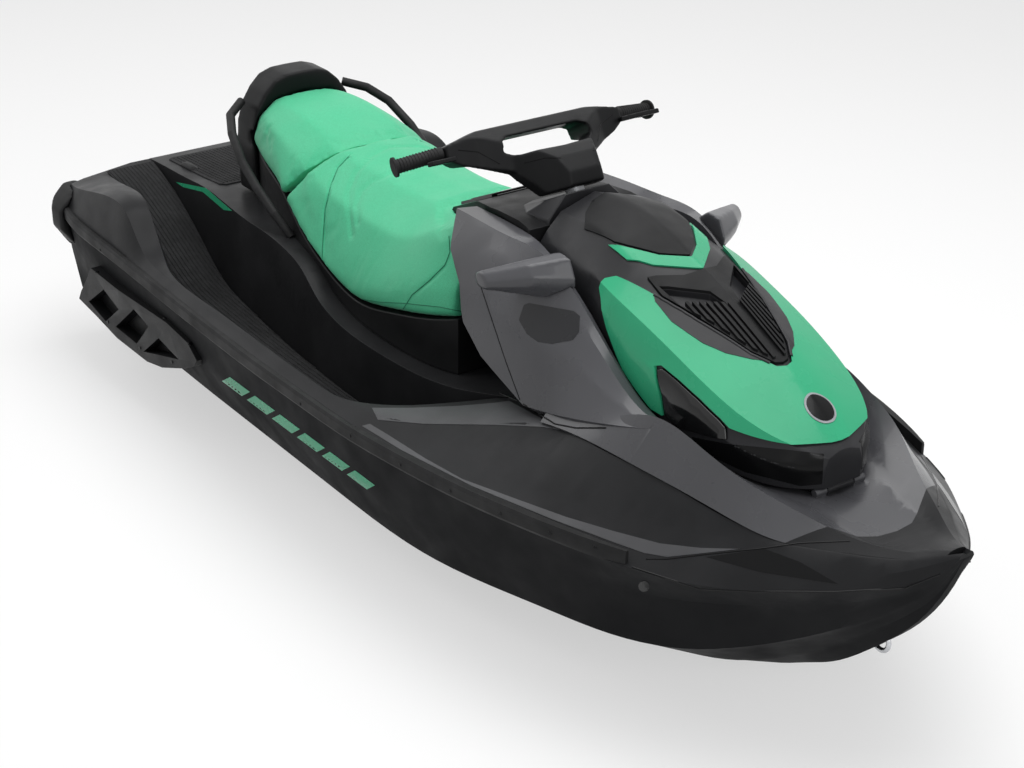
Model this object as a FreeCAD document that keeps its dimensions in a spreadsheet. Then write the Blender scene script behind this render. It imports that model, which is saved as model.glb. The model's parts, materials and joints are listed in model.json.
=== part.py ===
# Personal watercraft, three seats, jet drive.
# Frame: +X to the bow, +Y to port, +Z up. The origin is on the keel, at mid length.
# The moulded surfaces are ruled between long fair lines. Each line is a table of shares:
# x of the half length, y of the half beam, and height. Heights of the lower moulding are
# shares of hull_depth. Heights above are shares of upper_height, from the bond line up.
import FreeCAD, Part
import math
import os
import Sketcher

Vector = FreeCAD.Vector
doc = FreeCAD.newDocument("watercraft")

# Driving dimensions, in millimetres and degrees
sizes = [
    ("hull_length", 3318, "overall length"),
    ("beam", 1255, "overall width over the rub rails"),
    ("hull_depth", 425, "keel to bond line amidships"),
    ("upper_height", 575, "bond line to the top of the front lid"),
    ("rail_thickness", 12, "rub rail, outward of the mouldings"),
    ("rail_height", 40, "rub rail, top to bottom"),
    ("rail_rise", 4, "rub rail, below the bond line"),
    ("cut_overrun", 30, "how far cutters run past a face"),
    ("running_gap", 6, "between pieces that move past each other"),
    ("seam_gap", 3, "between panels of one body"),
    ("panel_skin", 7, "thickness of the bright lid panels"),
    ("bay_clearance", 45, "engine bay, round the block"),
    ("bay_floor", 105, "engine bay, height over the keel"),
    ("engine_length", 620, "engine block"),
    ("engine_width", 380, "engine block"),
    ("engine_height", 330, "engine block"),
    ("engine_front", 250, "engine block, front face from mid length"),
    ("pump_axis_height", 165, "jet pump axis over the keel"),
    ("pump_bore", 79, "jet pump, inner radius"),
    ("pump_wall", 12, "jet pump, wall"),
    ("pump_length", 250, "jet pump housing"),
    ("pump_setback", 529, "jet pump, front face ahead of the transom"),
    ("tunnel_half_width", 150, "pump tunnel"),
    ("plate_thickness", 38, "ride plate"),
    ("shaft_radius", 14, "drive shaft"),
    ("hub_radius", 30, "impeller hub"),
    ("blade_thickness", 5, "impeller blade"),
    ("blade_gap", 2, "impeller tip to pump bore"),
    ("impeller_length", 85, "impeller"),
    ("nozzle_length", 150, "steering nozzle"),
    ("nozzle_mouth", 46, "steering nozzle, inner radius at the mouth"),
    ("nozzle_wall", 7, "steering nozzle"),
    ("bucket_wall", 7, "reverse bucket"),
    ("bucket_width", 244, "reverse bucket, outside"),
    ("pivot_radius", 9, "pivot pins of nozzle and bucket"),
    ("pin_clearance", 0.08, "pivot pins, radial"),
    ("rest_gap", 0.5, "under a closed lid"),
    ("grate_bar", 12, "intake grate bars"),
    ("intake_half_width", 84, "intake mouth"),
    ("bin_wall", 34, "storage bin"),
    ("bin_half_width", 216, "storage bin, outside"),
    ("bin_bed", 330, "storage bin bed over the keel"),
    ("grip_radius", 17, "handlebar grips"),
    ("grip_flange", 25, "handlebar grip end flange"),
    ("column_radius", 24, "steering column"),
    ("column_tilt", 28, "steering column, back from upright"),
    ("handle_radius", 13, "grab handle"),
    ("eye_radius", 24, "tie-down eyes"),
    ("eye_wire", 6, "tie-down eyes"),
    ("mat_thickness", 6, "foot mats"),
    ("sponson_thickness", 62, "side sponsons, outward"),
    ("glass_thickness", 4, "mirror glass"),
    ("slat_rise", 7, "raised slats of the louvre field"),
    ("scoop_depth", 16, "air scoops beside the louvre field"),
    ("lid_hinge_radius", 9, "front lid, hinge barrels"),
    ("console_pin_radius", 5, "console lid, hinge pin"),
]
sheet = doc.addObject("Spreadsheet::Sheet", "sizes")
for row, (alias, number, note) in enumerate(sizes, 1):
    sheet.set("A%d" % row, alias)
    sheet.set("B%d" % row, str(number))
    sheet.set("C%d" % row, note)
    sheet.setAlias("B%d" % row, alias)
doc.recompute()


def val(alias):
    return float(sheet.get(alias))


half_length = val("hull_length") / 2
half_beam = val("beam") / 2
hull_depth = val("hull_depth")
upper_height = val("upper_height")
cut_overrun = val("cut_overrun")
running_gap = val("running_gap")
seam_gap = val("seam_gap")

# Lines of the lower moulding
keel_shares = [
    (-0.98, 0.076, -0.003), (-0.6, 0.076, -0.003), (-0.3, 0.076, -0.003), (0, 0.076, -0.003),
    (0.24, 0.073, -0.003), (0.38, 0.069, -0.002), (0.5, 0.061, 0.009), (0.6, 0.053, 0.052),
    (0.7, 0.045, 0.165), (0.747, 0.04, 0.264), (0.8, 0.035, 0.381), (0.844, 0.03, 0.518),
    (0.88, 0.027, 0.652), (0.94, 0.022, 0.911), (0.98, 0.018, 1.179), (1, 0.013, 1.371),
]
strake_in_shares = [
    (-0.98, 0.443, 0.207), (-0.3, 0.459, 0.212), (0, 0.456, 0.212), (0.24, 0.433, 0.202),
    (0.36, 0.411, 0.193), (0.48, 0.367, 0.179), (0.6, 0.292, 0.188), (0.7, 0.218, 0.278),
    (0.747, 0.177, 0.365), (0.8, 0.132, 0.492), (0.88, 0.076, 0.753), (0.94, 0.041, 0.981),
    (0.98, 0.022, 1.2), (1, 0.014, 1.373),
]
strake_out_shares = [
    (-0.98, 0.478, 0.207), (-0.3, 0.494, 0.212), (0, 0.491, 0.212), (0.24, 0.469, 0.202),
    (0.36, 0.446, 0.193), (0.48, 0.398, 0.184), (0.6, 0.319, 0.195), (0.7, 0.239, 0.289),
    (0.747, 0.196, 0.376), (0.8, 0.147, 0.504), (0.88, 0.086, 0.762), (0.94, 0.048, 0.988),
    (0.98, 0.025, 1.205), (1, 0.016, 1.374),
]
chine_in_shares = [
    (-0.98, 0.749, 0.353), (-0.6, 0.779, 0.358), (-0.3, 0.789, 0.358), (0, 0.787, 0.351),
    (0.24, 0.759, 0.341), (0.36, 0.709, 0.365), (0.48, 0.645, 0.376), (0.6, 0.55, 0.384),
    (0.7, 0.422, 0.461), (0.8, 0.26, 0.626), (0.88, 0.15, 0.831), (0.94, 0.075, 1.028),
    (0.98, 0.035, 1.219), (1, 0.019, 1.376),
]
chine_shares = [
    (-0.98, 0.805, 0.372), (-0.6, 0.835, 0.376), (-0.3, 0.845, 0.376), (0, 0.845, 0.369),
    (0.24, 0.816, 0.36), (0.36, 0.771, 0.388), (0.48, 0.701, 0.416), (0.6, 0.604, 0.431),
    (0.7, 0.47, 0.487), (0.8, 0.295, 0.647), (0.88, 0.172, 0.847), (0.94, 0.088, 1.042),
    (0.98, 0.041, 1.226), (1, 0.022, 1.378),
]
knuckle_shares = [
    (-0.98, 0.841, 0.706), (-0.75, 0.912, 0.706), (-0.45, 0.937, 0.706), (-0.15, 0.95, 0.706),
    (0, 0.947, 0.706), (0.24, 0.905, 0.706), (0.36, 0.857, 0.718), (0.48, 0.778, 0.741),
    (0.6, 0.657, 0.765), (0.7, 0.523, 0.812), (0.8, 0.371, 0.901), (0.88, 0.228, 0.998),
    (0.94, 0.115, 1.106), (0.98, 0.054, 1.245), (1, 0.029, 1.38),
]
# Lines of the deck moulding
bond_shares = [
    (-0.98, 0.88, 0), (-0.898, 0.931, 0), (-0.75, 0.953, 0), (-0.6, 0.967, 0), (-0.45, 0.983, 0),
    (-0.3, 0.994, 0), (-0.15, 1, 0), (0, 0.997, 0), (0.121, 0.988, 0), (0.24, 0.966, 0.009),
    (0.36, 0.932, 0.021), (0.48, 0.876, 0.033), (0.6, 0.792, 0.038), (0.663, 0.733, 0.038),
    (0.735, 0.642, 0.042), (0.808, 0.512, 0.061), (0.88, 0.36, 0.096), (0.916, 0.268, 0.117),
    (0.952, 0.155, 0.155), (0.98, 0.08, 0.209), (1, 0.035, 0.283),
]
band_shares = [
    (-0.98, 0.872, 0.063), (-0.898, 0.923, 0.063), (-0.75, 0.945, 0.063), (-0.6, 0.959, 0.063),
    (-0.45, 0.975, 0.063), (-0.3, 0.986, 0.063), (-0.15, 0.992, 0.063), (0, 0.989, 0.063),
    (0.121, 0.98, 0.063), (0.24, 0.955, 0.068), (0.36, 0.92, 0.075), (0.48, 0.853, 0.071),
    (0.557, 0.797, 0.07), (0.615, 0.735, 0.071), (0.657, 0.685, 0.075), (0.697, 0.633, 0.083),
    (0.735, 0.577, 0.096), (0.808, 0.462, 0.12), (0.88, 0.324, 0.15), (0.916, 0.239, 0.172),
    (0.952, 0.143, 0.21), (0.98, 0.07, 0.256), (1, 0.03, 0.294),
]
crest_shares = [
    (-0.98, 0.814, 0.141), (-0.898, 0.849, 0.188), (-0.82, 0.862, 0.243), (-0.75, 0.87, 0.278),
    (-0.684, 0.881, 0.252), (-0.633, 0.894, 0.148), (-0.6, 0.902, 0.106), (-0.55, 0.91, 0.092),
    (-0.45, 0.918, 0.09), (-0.3, 0.926, 0.089), (-0.15, 0.929, 0.087), (0, 0.924, 0.085),
    (0.121, 0.902, 0.087), (0.24, 0.869, 0.089), (0.36, 0.813, 0.099), (0.48, 0.733, 0.117),
    (0.6, 0.634, 0.137), (0.7, 0.526, 0.169), (0.8, 0.392, 0.205), (0.88, 0.255, 0.221),
    (0.94, 0.137, 0.235), (0.98, 0.057, 0.273), (1, 0.024, 0.301),
]
shoulder_shares = [
    (-0.98, 0.749, 0.157), (-0.898, 0.781, 0.202), (-0.82, 0.797, 0.256), (-0.75, 0.806, 0.29),
    (-0.684, 0.819, 0.263), (-0.633, 0.833, 0.157), (-0.6, 0.84, 0.113), (-0.55, 0.848, 0.097),
    (-0.45, 0.869, 0.094), (-0.3, 0.892, 0.092), (-0.15, 0.902, 0.09), (0, 0.902, 0.089),
    (0.09, 0.881, 0.094), (0.163, 0.853, 0.104), (0.217, 0.781, 0.127), (0.271, 0.696, 0.163),
    (0.325, 0.623, 0.205), (0.395, 0.55, 0.257), (0.434, 0.534, 0.275), (0.482, 0.532, 0.285),
    (0.524, 0.527, 0.287), (0.621, 0.488, 0.28), (0.697, 0.459, 0.257), (0.755, 0.418, 0.233),
    (0.803, 0.367, 0.219), (0.88, 0.242, 0.226), (0.94, 0.126, 0.24), (0.98, 0.048, 0.28),
    (1, 0.016, 0.306),
]
core_shares = [
    (-0.98, 0.478, 0.191), (-0.898, 0.478, 0.209), (-0.82, 0.475, 0.221), (-0.75, 0.469, 0.238),
    (-0.633, 0.456, 0.242), (-0.542, 0.459, 0.245), (-0.452, 0.462, 0.259), (-0.374, 0.47, 0.252),
    (-0.319, 0.478, 0.217), (-0.269, 0.491, 0.143), (-0.229, 0.497, 0.104), (-0.181, 0.505, 0.082),
    (-0.06, 0.518, 0.075), (0.06, 0.52, 0.096), (0.163, 0.52, 0.144), (0.24, 0.516, 0.197),
    (0.313, 0.507, 0.235), (0.386, 0.488, 0.266), (0.48, 0.462, 0.283), (0.6, 0.382, 0.256),
    (0.7, 0.287, 0.217), (0.8, 0.191, 0.183), (0.88, 0.127, 0.179), (0.94, 0.067, 0.197),
    (0.98, 0.025, 0.252), (1, 0.008, 0.297),
]
# Lines of the footwells
well_top_out_shares = [
    (-1.025, 0.786, 0.565), (-0.904, 0.792, 0.565), (-0.75, 0.787, 0.565), (-0.633, 0.911, 0.565),
    (-0.542, 1.111, 0.565), (-0.362, 1.171, 0.565), (-0.15, 1.178, 0.565), (-0.03, 1.193, 0.565),
    (0.03, 1.207, 0.565), (0.066, 1.187, 0.565), (0.102, 1.083, 0.565), (0.139, 0.925, 0.565),
    (0.181, 0.722, 0.565), (0.229, 0.584, 0.565), (0.268, 0.491, 0.565),
]
well_bed_out_shares = [
    (-1.025, 0.637, 0.191), (-0.904, 0.653, 0.148), (-0.75, 0.677, -0.026),
    (-0.633, 0.703, -0.165), (-0.542, 0.716, -0.198), (-0.362, 0.727, -0.223),
    (-0.15, 0.73, -0.235), (-0.03, 0.725, -0.233), (0.03, 0.714, -0.224), (0.066, 0.698, -0.214),
    (0.102, 0.677, -0.197), (0.139, 0.65, -0.172), (0.181, 0.614, -0.137), (0.229, 0.545, -0.085),
    (0.268, 0.491, -0.035),
]
well_bed_in_shares = [
    (-1.025, 0.375, 0.191), (-0.904, 0.398, 0.148), (-0.75, 0.433, -0.026), (-0.633, 0.47, -0.165),
    (-0.542, 0.494, -0.198), (-0.362, 0.532, -0.223), (-0.15, 0.558, -0.235),
    (-0.03, 0.561, -0.233), (0.03, 0.559, -0.224), (0.066, 0.556, -0.214), (0.102, 0.551, -0.197),
    (0.139, 0.545, -0.172), (0.181, 0.532, -0.137), (0.229, 0.51, -0.085), (0.268, 0.478, -0.035),
]
well_top_in_shares = [
    (-1.025, 0.319, 0.565), (-0.904, 0.338, 0.565), (-0.75, 0.359, 0.565), (-0.633, 0.395, 0.565),
    (-0.542, 0.418, 0.565), (-0.362, 0.462, 0.565), (-0.15, 0.507, 0.565), (-0.03, 0.51, 0.565),
    (0.03, 0.51, 0.565), (0.066, 0.51, 0.565), (0.102, 0.508, 0.565), (0.139, 0.507, 0.565),
    (0.181, 0.504, 0.565), (0.229, 0.494, 0.565), (0.268, 0.472, 0.565),
]
# Lines of the knee panels
panel_foot_shares = [
    (0.036, 0.542, 0.13), (0.121, 0.558, 0.165), (0.211, 0.561, 0.217), (0.301, 0.551, 0.261),
    (0.392, 0.534, 0.304), (0.482, 0.502, 0.36), (0.579, 0.446, 0.43),
]
panel_knee_shares = [
    (0.036, 0.518, 0.478), (0.121, 0.518, 0.504), (0.211, 0.513, 0.53), (0.301, 0.497, 0.557),
    (0.392, 0.465, 0.539), (0.482, 0.446, 0.468), (0.579, 0.424, 0.423),
]
panel_hip_shares = [
    (0.036, 0.454, 0.704), (0.121, 0.459, 0.725), (0.211, 0.453, 0.743), (0.301, 0.424, 0.753),
    (0.392, 0.398, 0.673), (0.482, 0.398, 0.513), (0.579, 0.392, 0.437),
]
panel_brow_shares = [
    (0.036, 0.354, 0.847), (0.121, 0.37, 0.857), (0.211, 0.379, 0.864), (0.301, 0.376, 0.857),
    (0.392, 0.367, 0.708), (0.482, 0.36, 0.506), (0.579, 0.357, 0.423),
]
panel_top_in_shares = [
    (0.036, 0.263, 0.835), (0.121, 0.274, 0.847), (0.211, 0.29, 0.854), (0.301, 0.344, 0.847),
    (0.392, 0.344, 0.69), (0.482, 0.344, 0.489), (0.579, 0.344, 0.409),
]
panel_foot_in_shares = [
    (0.036, 0.263, 0.061), (0.121, 0.274, 0.061), (0.211, 0.29, 0.061), (0.301, 0.344, 0.061),
    (0.392, 0.344, 0.061), (0.482, 0.344, 0.061), (0.579, 0.344, 0.061),
]
# Lines of the bow cover
bow_edge_shares = [
    (0.386, 0.558, 0.264), (0.482, 0.535, 0.292), (0.579, 0.513, 0.292), (0.663, 0.478, 0.277),
    (0.735, 0.437, 0.249), (0.808, 0.367, 0.218), (0.88, 0.247, 0.225), (0.94, 0.129, 0.239),
    (0.983, 0.046, 0.281),
]
bow_cheek_shares = [
    (0.386, 0.51, 0.325), (0.482, 0.478, 0.374), (0.579, 0.424, 0.475), (0.663, 0.398, 0.437),
    (0.735, 0.36, 0.374), (0.808, 0.274, 0.304), (0.88, 0.188, 0.259), (0.94, 0.099, 0.256),
    (0.983, 0.035, 0.29),
]
bow_ridge_shares = [
    (0.386, 0.344, 0.304), (0.482, 0.344, 0.322), (0.579, 0.344, 0.327), (0.663, 0.303, 0.304),
    (0.735, 0.236, 0.29), (0.808, 0.164, 0.259), (0.88, 0.131, 0.228), (0.94, 0.07, 0.256),
    (0.983, 0.022, 0.294),
]
bow_mid_shares = [
    (0.386, 0, 0.287), (0.482, 0, 0.287), (0.579, 0, 0.278), (0.663, 0, 0.252), (0.735, 0, 0.235),
    (0.808, 0, 0.25), (0.88, 0, 0.228), (0.94, 0, 0.256), (0.983, 0, 0.296),
]
bow_bed_shares = [
    (0.386, 0.478, 0.165), (0.482, 0.454, 0.165), (0.579, 0.398, 0.165), (0.663, 0.343, 0.148),
    (0.735, 0.279, 0.139), (0.808, 0.199, 0.13), (0.88, 0.127, 0.148), (0.94, 0.067, 0.165),
    (0.983, 0.022, 0.226),
]
# Lines of the front lid
hood_rim_shares = [
    (0.224, 0.263, 0.8), (0.271, 0.287, 0.77), (0.338, 0.306, 0.722), (0.41, 0.324, 0.617),
    (0.482, 0.327, 0.48), (0.555, 0.324, 0.384), (0.645, 0.306, 0.33), (0.705, 0.26, 0.308),
    (0.753, 0.166, 0.297), (0.775, 0.083, 0.296),
]
hood_flank_shares = [
    (0.224, 0.258, 0.817), (0.271, 0.284, 0.802), (0.338, 0.303, 0.777), (0.41, 0.32, 0.725),
    (0.482, 0.328, 0.638), (0.555, 0.328, 0.544), (0.645, 0.316, 0.461), (0.705, 0.271, 0.423),
    (0.753, 0.175, 0.391), (0.775, 0.088, 0.374),
]
hood_edge_shares = [
    (0.224, 0.226, 0.864), (0.271, 0.255, 0.857), (0.338, 0.274, 0.833), (0.41, 0.296, 0.795),
    (0.482, 0.296, 0.739), (0.555, 0.29, 0.673), (0.645, 0.271, 0.577), (0.705, 0.231, 0.513),
    (0.753, 0.147, 0.457), (0.775, 0.072, 0.423),
]
hood_brow_shares = [
    (0.224, 0.159, 0.934), (0.271, 0.182, 0.951), (0.338, 0.178, 0.939), (0.41, 0.166, 0.889),
    (0.482, 0.15, 0.819), (0.555, 0.131, 0.743), (0.645, 0.096, 0.645), (0.705, 0.08, 0.565),
    (0.753, 0.054, 0.485), (0.775, 0.029, 0.44),
]
hood_mid_shares = [
    (0.224, 0, 0.986), (0.271, 0, 1), (0.338, 0, 0.986), (0.41, 0, 0.936), (0.482, 0, 0.87),
    (0.555, 0, 0.784), (0.645, 0, 0.657), (0.705, 0, 0.574), (0.753, 0, 0.489), (0.775, 0, 0.443),
]
# Lines of the seat
seat_top_shares = [
    (-0.648, 0, 0.765), (-0.573, 0, 0.774), (-0.482, 0, 0.753), (-0.398, 0, 0.715),
    (-0.301, 0, 0.694), (-0.181, 0, 0.687), (-0.072, 0, 0.708), (0.03, 0, 0.77), (0.102, 0, 0.805),
]
seat_crown_shares = [
    (-0.648, 0.143, 0.748), (-0.573, 0.166, 0.763), (-0.482, 0.183, 0.743), (-0.398, 0.194, 0.697),
    (-0.301, 0.188, 0.673), (-0.181, 0.178, 0.663), (-0.072, 0.185, 0.69), (0.03, 0.215, 0.763),
    (0.102, 0.215, 0.802),
]
seat_side_shares = [
    (-0.648, 0.231, 0.675), (-0.573, 0.274, 0.677), (-0.482, 0.311, 0.642), (-0.398, 0.338, 0.586),
    (-0.301, 0.343, 0.544), (-0.181, 0.343, 0.527), (-0.072, 0.343, 0.576), (0.03, 0.331, 0.732),
    (0.102, 0.319, 0.77),
]
seat_hip_shares = [
    (-0.648, 0.271, 0.572), (-0.573, 0.325, 0.56), (-0.482, 0.375, 0.508), (-0.398, 0.418, 0.417),
    (-0.301, 0.443, 0.304), (-0.181, 0.462, 0.27), (-0.072, 0.47, 0.339), (0.03, 0.462, 0.443),
    (0.102, 0.438, 0.522),
]
seat_hem_shares = [
    (-0.648, 0.261, 0.539), (-0.573, 0.327, 0.504), (-0.482, 0.378, 0.461), (-0.398, 0.427, 0.365),
    (-0.301, 0.456, 0.266), (-0.181, 0.475, 0.207), (-0.072, 0.483, 0.266), (0.03, 0.478, 0.341),
    (0.102, 0.454, 0.409),
]
seat_bed_shares = [
    (-0.648, 0.237, 0.513), (-0.573, 0.298, 0.478), (-0.482, 0.351, 0.433), (-0.398, 0.398, 0.337),
    (-0.301, 0.427, 0.238), (-0.181, 0.446, 0.179), (-0.072, 0.454, 0.238), (0.03, 0.449, 0.315),
    (0.102, 0.425, 0.383),
]


def low_points(rows, inset=0, drop=0):
    return [Vector(x * half_length, y * half_beam - inset, z * hull_depth - drop) for x, y, z in rows]


def high_points(rows, inset=0, drop=0):
    return [Vector(x * half_length, y * half_beam - inset, hull_depth + z * upper_height - drop)
            for x, y, z in rows]


def mirrored(points):
    return [Vector(p.x, -p.y, p.z) for p in points]


def fair_line(points):
    first = points[0].x
    span = points[-1].x - first
    curve = Part.BSplineCurve()
    curve.interpolate(Points=points, Parameters=[(p.x - first) / span for p in points])
    return curve.toShape()


def ruled_body(lines):
    """A closed body ruled between neighbouring fair lines, with flat ends."""
    edges = [fair_line(points) for points in lines]
    faces = [Part.makeRuledSurface(edges[i], edges[(i + 1) % len(edges)]) for i in range(len(edges))]
    for end in (0, -1):
        corners = [points[end] for points in lines]
        faces.append(Part.Face(Part.makePolygon(corners + [corners[0]])))
    shell = Part.Shell(faces)
    shell.sewShape()
    solid = Part.Solid(shell)
    if solid.Volume < 0:
        solid.reverse()
    return solid


def whole_body(half_lines):
    """A body from the lines of its port half, mirrored to starboard."""
    lines = list(half_lines)
    for points in reversed(half_lines):
        if max(abs(p.y) for p in points) > 0:
            lines.append(mirrored(points))
    return ruled_body(lines)


def side_prism(corners, left, right):
    """A block whose outline is drawn in the XZ plane."""
    outline = [Vector(x, left, z) for x, z in corners]
    face = Part.Face(Part.makePolygon(outline + [outline[0]]))
    return face.extrude(Vector(0, right - left, 0))


def plan_prism(corners, bottom, top):
    """A block whose outline is drawn in the XY plane."""
    outline = [Vector(x, y, bottom) for x, y in corners]
    face = Part.Face(Part.makePolygon(outline + [outline[0]]))
    return face.extrude(Vector(0, 0, top - bottom))


def section_prism(corners, back, front):
    """A block whose outline is drawn in the YZ plane."""
    outline = [Vector(back, y, z) for y, z in corners]
    face = Part.Face(Part.makePolygon(outline + [outline[0]]))
    return face.extrude(Vector(front - back, 0, 0))


def port_too(shape):
    return shape.mirror(Vector(0, 0, 0), Vector(0, 1, 0))


def along(x_share):
    return x_share * half_length


def across(y_share):
    return y_share * half_beam


def height(z_share):
    return hull_depth + z_share * upper_height


pieces = {}


def one_piece(shape):
    solids = sorted(shape.Solids, key=lambda s: -s.Volume)
    return solids[0]


def keep(label, shape):
    """A free-form piece of the model."""
    if shape.ShapeType != "Solid" and len(shape.Solids) == 1:
        shape = shape.Solids[0]
    piece = doc.addObject("Part::Feature", label)
    piece.Label = label
    piece.Shape = shape
    pieces[label] = piece
    return shape


def new_body(label):
    body = doc.addObject("PartDesign::Body", label)
    body.Label = label
    pieces[label] = body
    return body


def plane_of(body, role):
    for feature in body.Origin.OriginFeatures:
        if feature.Role == role:
            return feature


def new_sketch(body, role, name, offset=None):
    sketch = body.newObject("Sketcher::SketchObject", name)
    sketch.AttachmentSupport = [(plane_of(body, role), "")]
    sketch.MapMode = "FlatFace"
    if offset:
        sketch.AttachmentOffset = FreeCAD.Placement(offset, FreeCAD.Rotation())
    return sketch


def draw_outline(sketch, corners):
    """Straight edges through the corners, closed."""
    count = len(corners)
    for i in range(count):
        start = Vector(corners[i][0], corners[i][1], 0)
        end = Vector(corners[(i + 1) % count][0], corners[(i + 1) % count][1], 0)
        sketch.addGeometry(Part.LineSegment(start, end), False)
    for i in range(count):
        sketch.addConstraint(Sketcher.Constraint("Coincident", i, 2, (i + 1) % count, 1))


def draw_circle(sketch, radius_alias, centre=(0, 0)):
    index = sketch.addGeometry(Part.Circle(Vector(centre[0], centre[1], 0), Vector(0, 0, 1),
                                           val(radius_alias)), False)
    number = sketch.addConstraint(Sketcher.Constraint("Radius", index, val(radius_alias)))
    sketch.setExpression("Constraints[%d]" % number, "sizes." + radius_alias)
    return index


# Lower moulding
rail_end_share = 0.72
rail_fade_share = 0.16


def behind_rail(rows):
    """A line moved inward by the rub rail's thickness, fading out where the rail ends."""
    points = []
    for p, (x, y, z) in zip(high_points(rows), rows):
        share = min(1, max(0, (rail_end_share - x) / rail_fade_share))
        points.append(Vector(p.x, p.y - val("rail_thickness") * share, p.z))
    return points


bond_line = behind_rail(bond_shares)
band_line = behind_rail(band_shares)
hull_lines = [low_points(keel_shares), low_points(strake_in_shares), low_points(strake_out_shares),
              low_points(chine_in_shares), low_points(chine_shares), low_points(knuckle_shares), bond_line]
hull = whole_body(hull_lines)
below_keel = plan_prism([(-half_length * 2, -half_beam * 2), (half_length * 2, -half_beam * 2),
                         (half_length * 2, half_beam * 2), (-half_length * 2, half_beam * 2)], -cut_overrun, 0)
hull = hull.cut(below_keel)
# The deck's inner tub drops into the lower moulding
tub_side_shares = [(-0.66, 0.815), (-0.58, 0.865), (-0.10, 0.882), (0.05, 0.878), (0.12, 0.815), (0.24, 0.67)]
tub_floor_share = 0.56
tub_corners = [(along(x), across(y)) for x, y in tub_side_shares]
tub_corners += [(x, -y) for x, y in reversed(tub_corners)]
tub_block = plan_prism(tub_corners, hull_depth * tub_floor_share, hull_depth + cut_overrun)
stern_tub_shares = [(-0.90, 0.68), (-0.65, 0.755)]
stern_corners = [(along(x), across(y)) for x, y in stern_tub_shares]
stern_corners += [(x, -y) for x, y in reversed(stern_corners)]
stern_floor_share = 0.78
tub_block = tub_block.fuse(plan_prism(stern_corners, hull_depth * stern_floor_share, hull_depth + cut_overrun))
deck_lines = [bond_line, band_line, high_points(crest_shares), high_points(shoulder_shares), high_points(core_shares)]
deck = whole_body(deck_lines)
deck_block = deck
under = hull.common(tub_block)
hull = one_piece(hull.cut(tub_block))
deck = one_piece(deck.fuse(under))
# Engine bay
bay_clearance = val("bay_clearance")
bay_back = val("engine_front") - val("engine_length") - bay_clearance
bay_length = val("engine_length") + 2 * bay_clearance
bay_width = val("engine_width") + 2 * bay_clearance
bay = Part.makeBox(bay_length, bay_width, val("engine_height") + bay_clearance / 2,
                   Vector(bay_back, -bay_width / 2, val("bay_floor")))
hull = hull.cut(bay)
deck = deck.cut(bay)
# Pump tunnel, open at the transom and closed below by the ride plate
tunnel_front = val("pump_setback") - half_length
tunnel_back = -half_length - cut_overrun
tunnel_half = val("tunnel_half_width")
tunnel = Part.makeBox(tunnel_front - tunnel_back, 2 * tunnel_half, val("pump_axis_height") + cut_overrun,
                      Vector(tunnel_back, -tunnel_half, -cut_overrun))
tunnel_roof = Part.makeCylinder(tunnel_half, tunnel_front - tunnel_back,
                                Vector(tunnel_back, 0, val("pump_axis_height")), Vector(1, 0, 0))
hull = hull.cut(tunnel.fuse(tunnel_roof))
# Wider recess at the transom, where the nozzle and the bucket swing
recess_half = tunnel_half * 1.1
recess_front = tunnel_front - val("pump_length") * 0.78
recess_roof = val("pump_axis_height") + tunnel_half * 1.28
recess = Part.makeBox(recess_front - tunnel_back, 2 * recess_half, recess_roof - val("plate_thickness"),
                      Vector(tunnel_back, -recess_half, val("plate_thickness")))
hull = hull.cut(recess)
deck = deck.cut(recess)
# Intake duct, sloping up from the keel to the pump
intake_mouth_shares = [(0.026, -0.1), (0.241, -0.1), (0.236, 0.06), (0.161, 0.20), (0.021, 0.48),
                       (-0.019, 0.48), (-0.019, 0.16), (0.026, 0.12)]
intake_half = val("intake_half_width")
intake = side_prism([(tunnel_front + along(x), hull_depth * z) for x, z in intake_mouth_shares],
                    -intake_half, intake_half)
hull = hull.cut(intake)
shaft_tube = Part.makeCylinder(val("shaft_radius") + running_gap, -tunnel_front + cut_overrun + bay_back,
                               Vector(tunnel_front - cut_overrun, 0, val("pump_axis_height")),
                               Vector(1, 0, 0))
hull = one_piece(hull.cut(shaft_tube))

# Footwells and their two inner walls
well_lines = [high_points(well_top_out_shares), high_points(well_bed_out_shares),
              high_points(well_bed_in_shares), high_points(well_top_in_shares)]
well = ruled_body(well_lines)
deck = deck.cut(well)
deck = deck.cut(port_too(well))
hull = hull.cut(well)
hull = hull.cut(port_too(well))
# Hollow under the front lid
bin_half = val("bin_half_width")
bin_rear_share = 0.283
bin_front_share = 0.639
bin_rear = along(bin_rear_share)
bin_front = along(bin_front_share)
bin_hole = Part.makeBox(bin_front - bin_rear, 2 * bin_half, upper_height,
                        Vector(bin_rear, -bin_half, val("bin_bed")))
deck = deck.cut(bin_hole)
hull = one_piece(hull.cut(bin_hole))
deck = one_piece(deck)

# Knee panels, cut back along a raked rear edge
panel_lines = [high_points(panel_foot_in_shares), high_points(panel_foot_shares),
               high_points(panel_knee_shares), high_points(panel_hip_shares),
               high_points(panel_brow_shares), high_points(panel_top_in_shares)]
panel = ruled_body(panel_lines)
rear_edge_shares = [(0.060, 0.870), (0.096, 0.740), (0.145, 0.610), (0.172, 0.470), (0.225, 0.375),
                    (0.310, 0.300), (0.386, 0.235), (0.386, -0.2), (-0.1, -0.2), (-0.1, 0.870)]
rear_cut = side_prism([(along(x), height(z)) for x, z in rear_edge_shares], 0, half_beam)
panel = panel.cut(rear_cut)
panel = one_piece(panel.cut(deck))

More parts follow.
